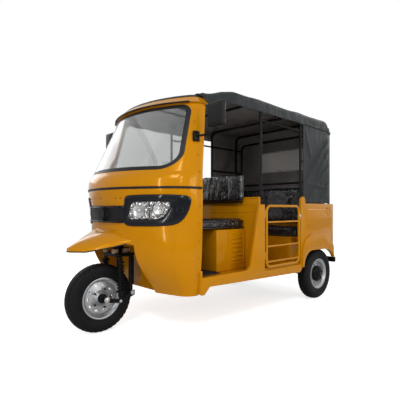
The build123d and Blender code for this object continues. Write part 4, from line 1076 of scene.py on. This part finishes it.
def build_rear():
    low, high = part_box("tail_lamps")
    back = high.y
    frames, ambers, whites = [], [], []
    for side in (1, -1):
        x = side * 0.5
        frames.append(block((0.106, 0.018, 0.176), (x, low.y + 0.011, 0.70), 0.007))
        ambers.append(block((0.074, 0.010, 0.044), (x, back - 0.002, 0.752), 0.004))
        whites.append(block((0.074, 0.010, 0.036), (x, back - 0.002, 0.648), 0.004))
    done(join(frames), "tail_lamp_frames", "black_plastic")
    done(join(ambers), "turn_lenses", "amber")
    done(join(whites), "reversing_lenses", "lens")
    panel_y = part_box("rear_panel")[1].y
    beads = [block((0.80, 0.010, 0.010), (0, panel_y, z), 0.004) for z in (0.50, 0.72, 0.88)]
    beads += [block((0.010, 0.010, 0.16), (x, panel_y, 0.80), 0.004) for x in (-0.4, 0.4)]
    done(join(beads), "rear_panel_beads", "paint")
    strip = block((1.15, 0.030, 0.004), (0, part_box("bumper")[1].y - 0.018, 0.3765), 0.0015)
    done(strip, "bumper_strip", "steel")
    rings = []
    for side in (1, -1):
        x = side * (0.612 + 0.004)
        rings.append(lathe([(0.0, 0.026), (0.0, 0.040), (0.004, 0.040), (0.006, 0.034), (0.004, 0.026)],
                           at(x, 2.105, 0.842), steps=36, flip=side < 0))
    done(join(rings), "quarter_rings", "paint", smooth=40.0)


def build_mirrors():
    shells, glasses, brackets = [], [], []
    foot_z = 1.352
    for side in (1, -1):
        centre = at(side * 0.700, 0.470, 1.490)
        shells.append(block((0.150, 0.034, 0.162), centre, 0.015, 4))
        shells.append(block((0.112, 0.008, 0.124), centre - Vector((0, 0.017, 0)), 0.0035))
        glasses.append(block((0.130, 0.004, 0.142), centre + Vector((0, 0.0175, 0)), 0.0015))
        foot_x = side * 0.563
        brackets.append(block((0.026, 0.050, 0.070), at(foot_x + side * 0.010, 0.405, foot_z), 0.007, 3))
        brackets.append(pipe([at(foot_x + side * 0.012, 0.405, foot_z), at(side * 0.64, 0.425, foot_z),
                              at(side * 0.695, 0.450, 1.37), at(side * 0.700, 0.470, 1.41)], 0.0078, 10))
        brackets.append(rod(at(side * 0.70, 0.470, 1.392), at(side * 0.70, 0.470, 1.425), 0.014, 16, 0.003))
    done(join(shells), "mirror_shells", "black_plastic", replaces=("mirrors",))
    done(join(brackets), "mirror_brackets", "black_paint")
    done(join(glasses), "mirror_glasses", "mirror")


def build_inside():
    dash_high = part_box("dashboard")[1]
    face_y = dash_high.y
    pod = block((0.14, 0.045, 0.075), (0.0, AXLE_Y + 0.188, dash_high.z + 0.033), 0.012, 4)
    cover = lathe([(0.0, 0.0005), (0.0, 0.034), (0.006, 0.034), (0.008, 0.030), (0.004, 0.028),
                   (0.003, 0.0005)], (0.0, AXLE_Y + 0.2095, dash_high.z + 0.033),
                  axis=Matrix.Rotation(math.pi / 2, 4, "Z"), steps=36)
    done(join([pod, cover]), "meter_pod", "black_plastic")
    needle = block((0.003, 0.002, 0.024), (0.0, AXLE_Y + 0.2140, dash_high.z + 0.040), 0.0008)
    knob_z = dash_high.z - 0.028
    knobs = [rod((x, face_y - 0.004, knob_z), (x, face_y + 0.014, knob_z), 0.010, 16, 0.003)
             for x in (-0.18, -0.13, 0.13, 0.18)]
    done(join([needle] + knobs), "dash_knobs", "steel")
    floor_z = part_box("floor_mat")[1].z
    pads, stems = [], []
    for x in (-0.12, -0.24):
        pads.append(block((0.07, 0.012, 0.055), at(x, 0.415, floor_z + 0.115), 0.004, 3,
                          (math.radians(-25), 0, 0)))
        stems.append(pipe([at(x, 0.385, floor_z), at(x, 0.385, floor_z + 0.06),
                           at(x, 0.412, floor_z + 0.112)], 0.006, 8))
    done(join(pads), "pedal_pads", "seal")
    done(join(stems), "pedal_stems", "black_paint")
    ribs = []
    pan_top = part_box("floor_pan")[1].z
    for k in range(7):
        ribs.append(block((1.05, 0.012, 0.006), (0, AXLE_Y + 1.16 + 0.075 * k, pan_top + 0.002), 0.0025))
    done(join(ribs), "floor_ribs", "paint")
    caps = []
    for side in (1, -1):
        caps.append(block((0.010, 0.030, 0.034), at(side * 0.606, 1.622, 0.80), 0.003))
        caps.append(rod(at(side * 0.606, 1.600, 0.80), at(side * 0.606, 1.640, 0.80), 0.004, 12))
    done(join(caps), "gate_latches", "steel")


# ---- Stage


# Lamps: name, place, target, width, height, power
LAMPS = [
    ("key", (3.0, -3.4, 3.6), (0, -0.4, 0.9), 1.0, 1.0, 68.0),
    ("streak", (1.9, -3.9, 1.7), (0, -1.0, 1.0), 0.10, 2.4, 26.0),
    ("glint", (3.9, -2.4, 2.2), (0.3, -0.4, 1.0), 0.14, 1.6, 22.0),
    ("side", (4.4, 0.6, 1.5), (0, 0.2, 0.9), 1.8, 1.2, 42.0),
    ("far", (-4.0, -1.0, 2.6), (0, 0.0, 0.9), 2.4, 1.8, 30.0),
    ("back", (0.0, 4.4, 2.8), (0, 0.6, 0.9), 2.6, 1.8, 34.0),
]
# The camera: picture width, focal length and optical centre in pixels of the photograph
PICTURE, FOCAL, CENTRE_X, CENTRE_Y = 400.0, 365.0, 212.925, 209.912
WORLD_LIGHT = 0.40
FLOOR_LIFT = 0.66


def area_light(name, place, target, width, height, power):
    lamp = bpy.data.lights.new(name, "AREA")
    lamp.shape = "RECTANGLE"
    lamp.size, lamp.size_y = width, height
    lamp.energy = power
    item = bpy.data.objects.new(name, lamp)
    bpy.context.scene.collection.objects.link(item)
    item.location = place
    item.rotation_euler = (Vector(target) - Vector(place)).to_track_quat("-Z", "Y").to_euler()


def build_stage():
    scene = bpy.context.scene
    scene.view_settings.view_transform = "Standard"
    world = bpy.data.worlds.new("studio")
    scene.world = world
    world.use_nodes = True
    tree = world.node_tree
    back = tree.nodes["Background"]
    back.inputs["Color"].default_value = (1.0, 1.0, 1.0, 1.0)
    path = tree.nodes.new("ShaderNodeLightPath")
    seen = path.outputs["Is Camera Ray"]
    for ray in ("Is Transmission Ray", "Is Glossy Ray"):
        either = tree.nodes.new("ShaderNodeMath")
        either.operation = "MAXIMUM"
        tree.links.new(seen, either.inputs[0])
        tree.links.new(path.outputs[ray], either.inputs[1])
        seen = either.outputs[0]
    level = tree.nodes.new("ShaderNodeMapRange")
    level.inputs["To Min"].default_value = WORLD_LIGHT
    level.inputs["To Max"].default_value = 1.0
    tree.links.new(seen, level.inputs["Value"])
    tree.links.new(level.outputs["Result"], back.inputs["Strength"])
    deselect()
    bpy.ops.mesh.primitive_plane_add(size=40, location=(0, 0, 0))
    floor = active()
    floor.name = "studio_floor"
    material, tree, shader = node_tools("studio_floor")
    shader.inputs["Base Color"].default_value = (0.93, 0.93, 0.93, 1.0)
    shader.inputs["Roughness"].default_value = 0.9
    shader.inputs["Specular IOR Level"].default_value = 0.0
    shader.inputs["Emission Color"].default_value = (1.0, 1.0, 1.0, 1.0)
    path = tree.nodes.new("ShaderNodeLightPath")
    lift = tree.nodes.new("ShaderNodeMath")
    lift.operation = "MULTIPLY"
    lift.inputs[1].default_value = FLOOR_LIFT
    tree.links.new(path.outputs["Is Camera Ray"], lift.inputs[0])
    tree.links.new(lift.outputs[0], shader.inputs["Emission Strength"])
    floor.data.materials.append(material)
    for lamp in LAMPS:
        area_light(*lamp)
    camera = bpy.data.cameras.new("photo_view")
    camera.sensor_width = 36.0
    camera.lens = camera.sensor_width * FOCAL / PICTURE
    camera.shift_x = (PICTURE / 2 - CENTRE_X) / PICTURE
    camera.shift_y = (CENTRE_Y - PICTURE / 2) / PICTURE
    item = bpy.data.objects.new("photo_view", camera)
    scene.collection.objects.link(item)
    item.location = at(2.408, -1.216, 0.857)
    item.rotation_euler = (math.radians(90.0), 0.0, math.radians(45.908))
    scene.camera = item


# ---- Add-on


class RickshawSizes(PropertyGroup):
    """Sizes and colours of the dressed vehicle."""
    paint_colour: FloatVectorProperty(
        name="Body paint", description="Colour of the painted panels", subtype="COLOR", size=3,
        min=0.0, max=1.0, default=(0.47, 0.187, 0.0015))
    canvas_colour: FloatVectorProperty(
        name="Canvas", description="Colour of the canopy's outer face", subtype="COLOR", size=3,
        min=0.0, max=1.0, default=(0.015, 0.018, 0.019))
    vinyl_colour: FloatVectorProperty(
        name="Seat vinyl", description="Colour of the seat covers", subtype="COLOR", size=3,
        min=0.0, max=1.0, default=(0.006, 0.006, 0.007))
    canvas_sag: FloatProperty(
        name="Canvas sag", description="How far the roof sheet hangs between its bows", unit="LENGTH",
        default=0.012, min=0.0, max=0.03)
    fold_depth: FloatProperty(
        name="Fold depth", description="Depth of the creases in the curtains", unit="LENGTH",
        default=0.008, min=0.0, max=0.02)
    cushion_swell: FloatProperty(
        name="Cushion swell", description="How full the cushions are", subtype="FACTOR",
        default=1.0, min=0.0, max=1.5)
    fender_rise: FloatProperty(
        name="Fender rise", description="How far the fender's shoulders swell where it meets the cab",
        unit="LENGTH", default=0.020, min=0.0, max=0.05)
    tread_depth: FloatProperty(
        name="Tread depth", description="Depth of the cuts across the tyres", unit="LENGTH",
        default=0.005, min=0.0, max=0.01)
    spring_turns: IntProperty(
        name="Spring turns", description="Turns of each fork spring", default=9, min=3, max=16)


def sizes():
    return bpy.context.scene.rickshaw_sizes


class RICKSHAW_OT_finishes(Operator):
    """Make every finish and give the frame's own parts theirs."""
    bl_idname = "rickshaw.finishes"
    bl_label = "Finishes"

    def execute(self, context):
        make_finishes(sizes())
        return {"FINISHED"}


class RICKSHAW_OT_stage(Operator):
    """Make the floor, the lights and the camera."""
    bl_idname = "rickshaw.stage"
    bl_label = "Stage"

    def execute(self, context):
        build_stage()
        return {"FINISHED"}


class RICKSHAW_OT_body(Operator):
    """Make the painted body panels with their pressed beads."""
    bl_idname = "rickshaw.body"
    bl_label = "Body panels"

    def execute(self, context):
        build_body()
        return {"FINISHED"}


class RICKSHAW_OT_cab_trims(Operator):
    """Make the cab's edge beads, roof cap, visor, and the black line of painted shade along the fender's
    lip.
    """
    bl_idname = "rickshaw.cab_trims"
    bl_label = "Cab trims"

    def execute(self, context):
        build_cab_trims(sizes())
        return {"FINISHED"}


class RICKSHAW_OT_front(Operator):
    """Make the lamps with their mouldings, the grille beads, the horn face and the screws."""
    bl_idname = "rickshaw.front"
    bl_label = "Lamps and grille"

    def execute(self, context):
        build_front()
        return {"FINISHED"}


class RICKSHAW_OT_canopy(Operator):
    """Make the canopy's roof sheet, curtains, hems and window piping."""
    bl_idname = "rickshaw.canopy"
    bl_label = "Canopy"

    def execute(self, context):
        build_canopy(sizes())
        return {"FINISHED"}


class RICKSHAW_OT_seats(Operator):
    """Make the stuffed seats and their piping."""
    bl_idname = "rickshaw.seats"
    bl_label = "Seats"

    def execute(self, context):
        build_seats(sizes())
        return {"FINISHED"}


class RICKSHAW_OT_wheels(Operator):
    """Make the treaded tyres and the hub caps."""
    bl_idname = "rickshaw.wheels"
    bl_label = "Wheels"

    def execute(self, context):
        build_wheels(sizes())
        return {"FINISHED"}


class RICKSHAW_OT_fork(Operator):
    """Make the fork's shocks, springs, buffers, nuts and crown plate, and the bar's grips."""
    bl_idname = "rickshaw.fork"
    bl_label = "Fork"

    def execute(self, context):
        build_fork(sizes())
        build_handlebar()
        return {"FINISHED"}


class RICKSHAW_OT_rear(Operator):
    """Make the tail lamp frames, the bumper strip and the rear beads."""
    bl_idname = "rickshaw.rear"
    bl_label = "Rear"

    def execute(self, context):
        build_rear()
        return {"FINISHED"}


class RICKSHAW_OT_mirrors(Operator):
    """Make the mirrors and their arms."""
    bl_idname = "rickshaw.mirrors"
    bl_label = "Mirrors"

    def execute(self, context):
        build_mirrors()
        return {"FINISHED"}


class RICKSHAW_OT_inside(Operator):
    """Make the meter pod, pedals, floor ribs and gate fittings."""
    bl_idname = "rickshaw.inside"
    bl_label = "Inside fittings"

    def execute(self, context):
        build_inside()
        return {"FINISHED"}


OPERATORS = (
    RICKSHAW_OT_finishes, RICKSHAW_OT_stage, RICKSHAW_OT_body, RICKSHAW_OT_cab_trims, RICKSHAW_OT_front,
    RICKSHAW_OT_canopy, RICKSHAW_OT_seats, RICKSHAW_OT_wheels, RICKSHAW_OT_fork, RICKSHAW_OT_rear,
    RICKSHAW_OT_mirrors, RICKSHAW_OT_inside,
)


class VIEW3D_PT_rickshaw(Panel):
    """The vehicle's sizes, colours and pieces."""
    bl_label = "Auto rickshaw"
    bl_space_type = "VIEW_3D"
    bl_region_type = "UI"
    bl_category = "Rickshaw"

    def draw(self, context):
        for name in RickshawSizes.__annotations__:
            self.layout.prop(context.scene.rickshaw_sizes, name)
        for operator in OPERATORS:
            self.layout.operator(operator.bl_idname)


CLASSES = (RickshawSizes, *OPERATORS, VIEW3D_PT_rickshaw)


def register():
    for cls in CLASSES:
        bpy.utils.register_class(cls)
    bpy.types.Scene.rickshaw_sizes = PointerProperty(type=RickshawSizes)


def unregister():
    del bpy.types.Scene.rickshaw_sizes
    for cls in reversed(CLASSES):
        bpy.utils.unregister_class(cls)


def main():
    register()
    for operator in OPERATORS:
        group, name = operator.bl_idname.split(".")
        getattr(getattr(bpy.ops, group), name)()


if __name__ == "__main__":
    main()
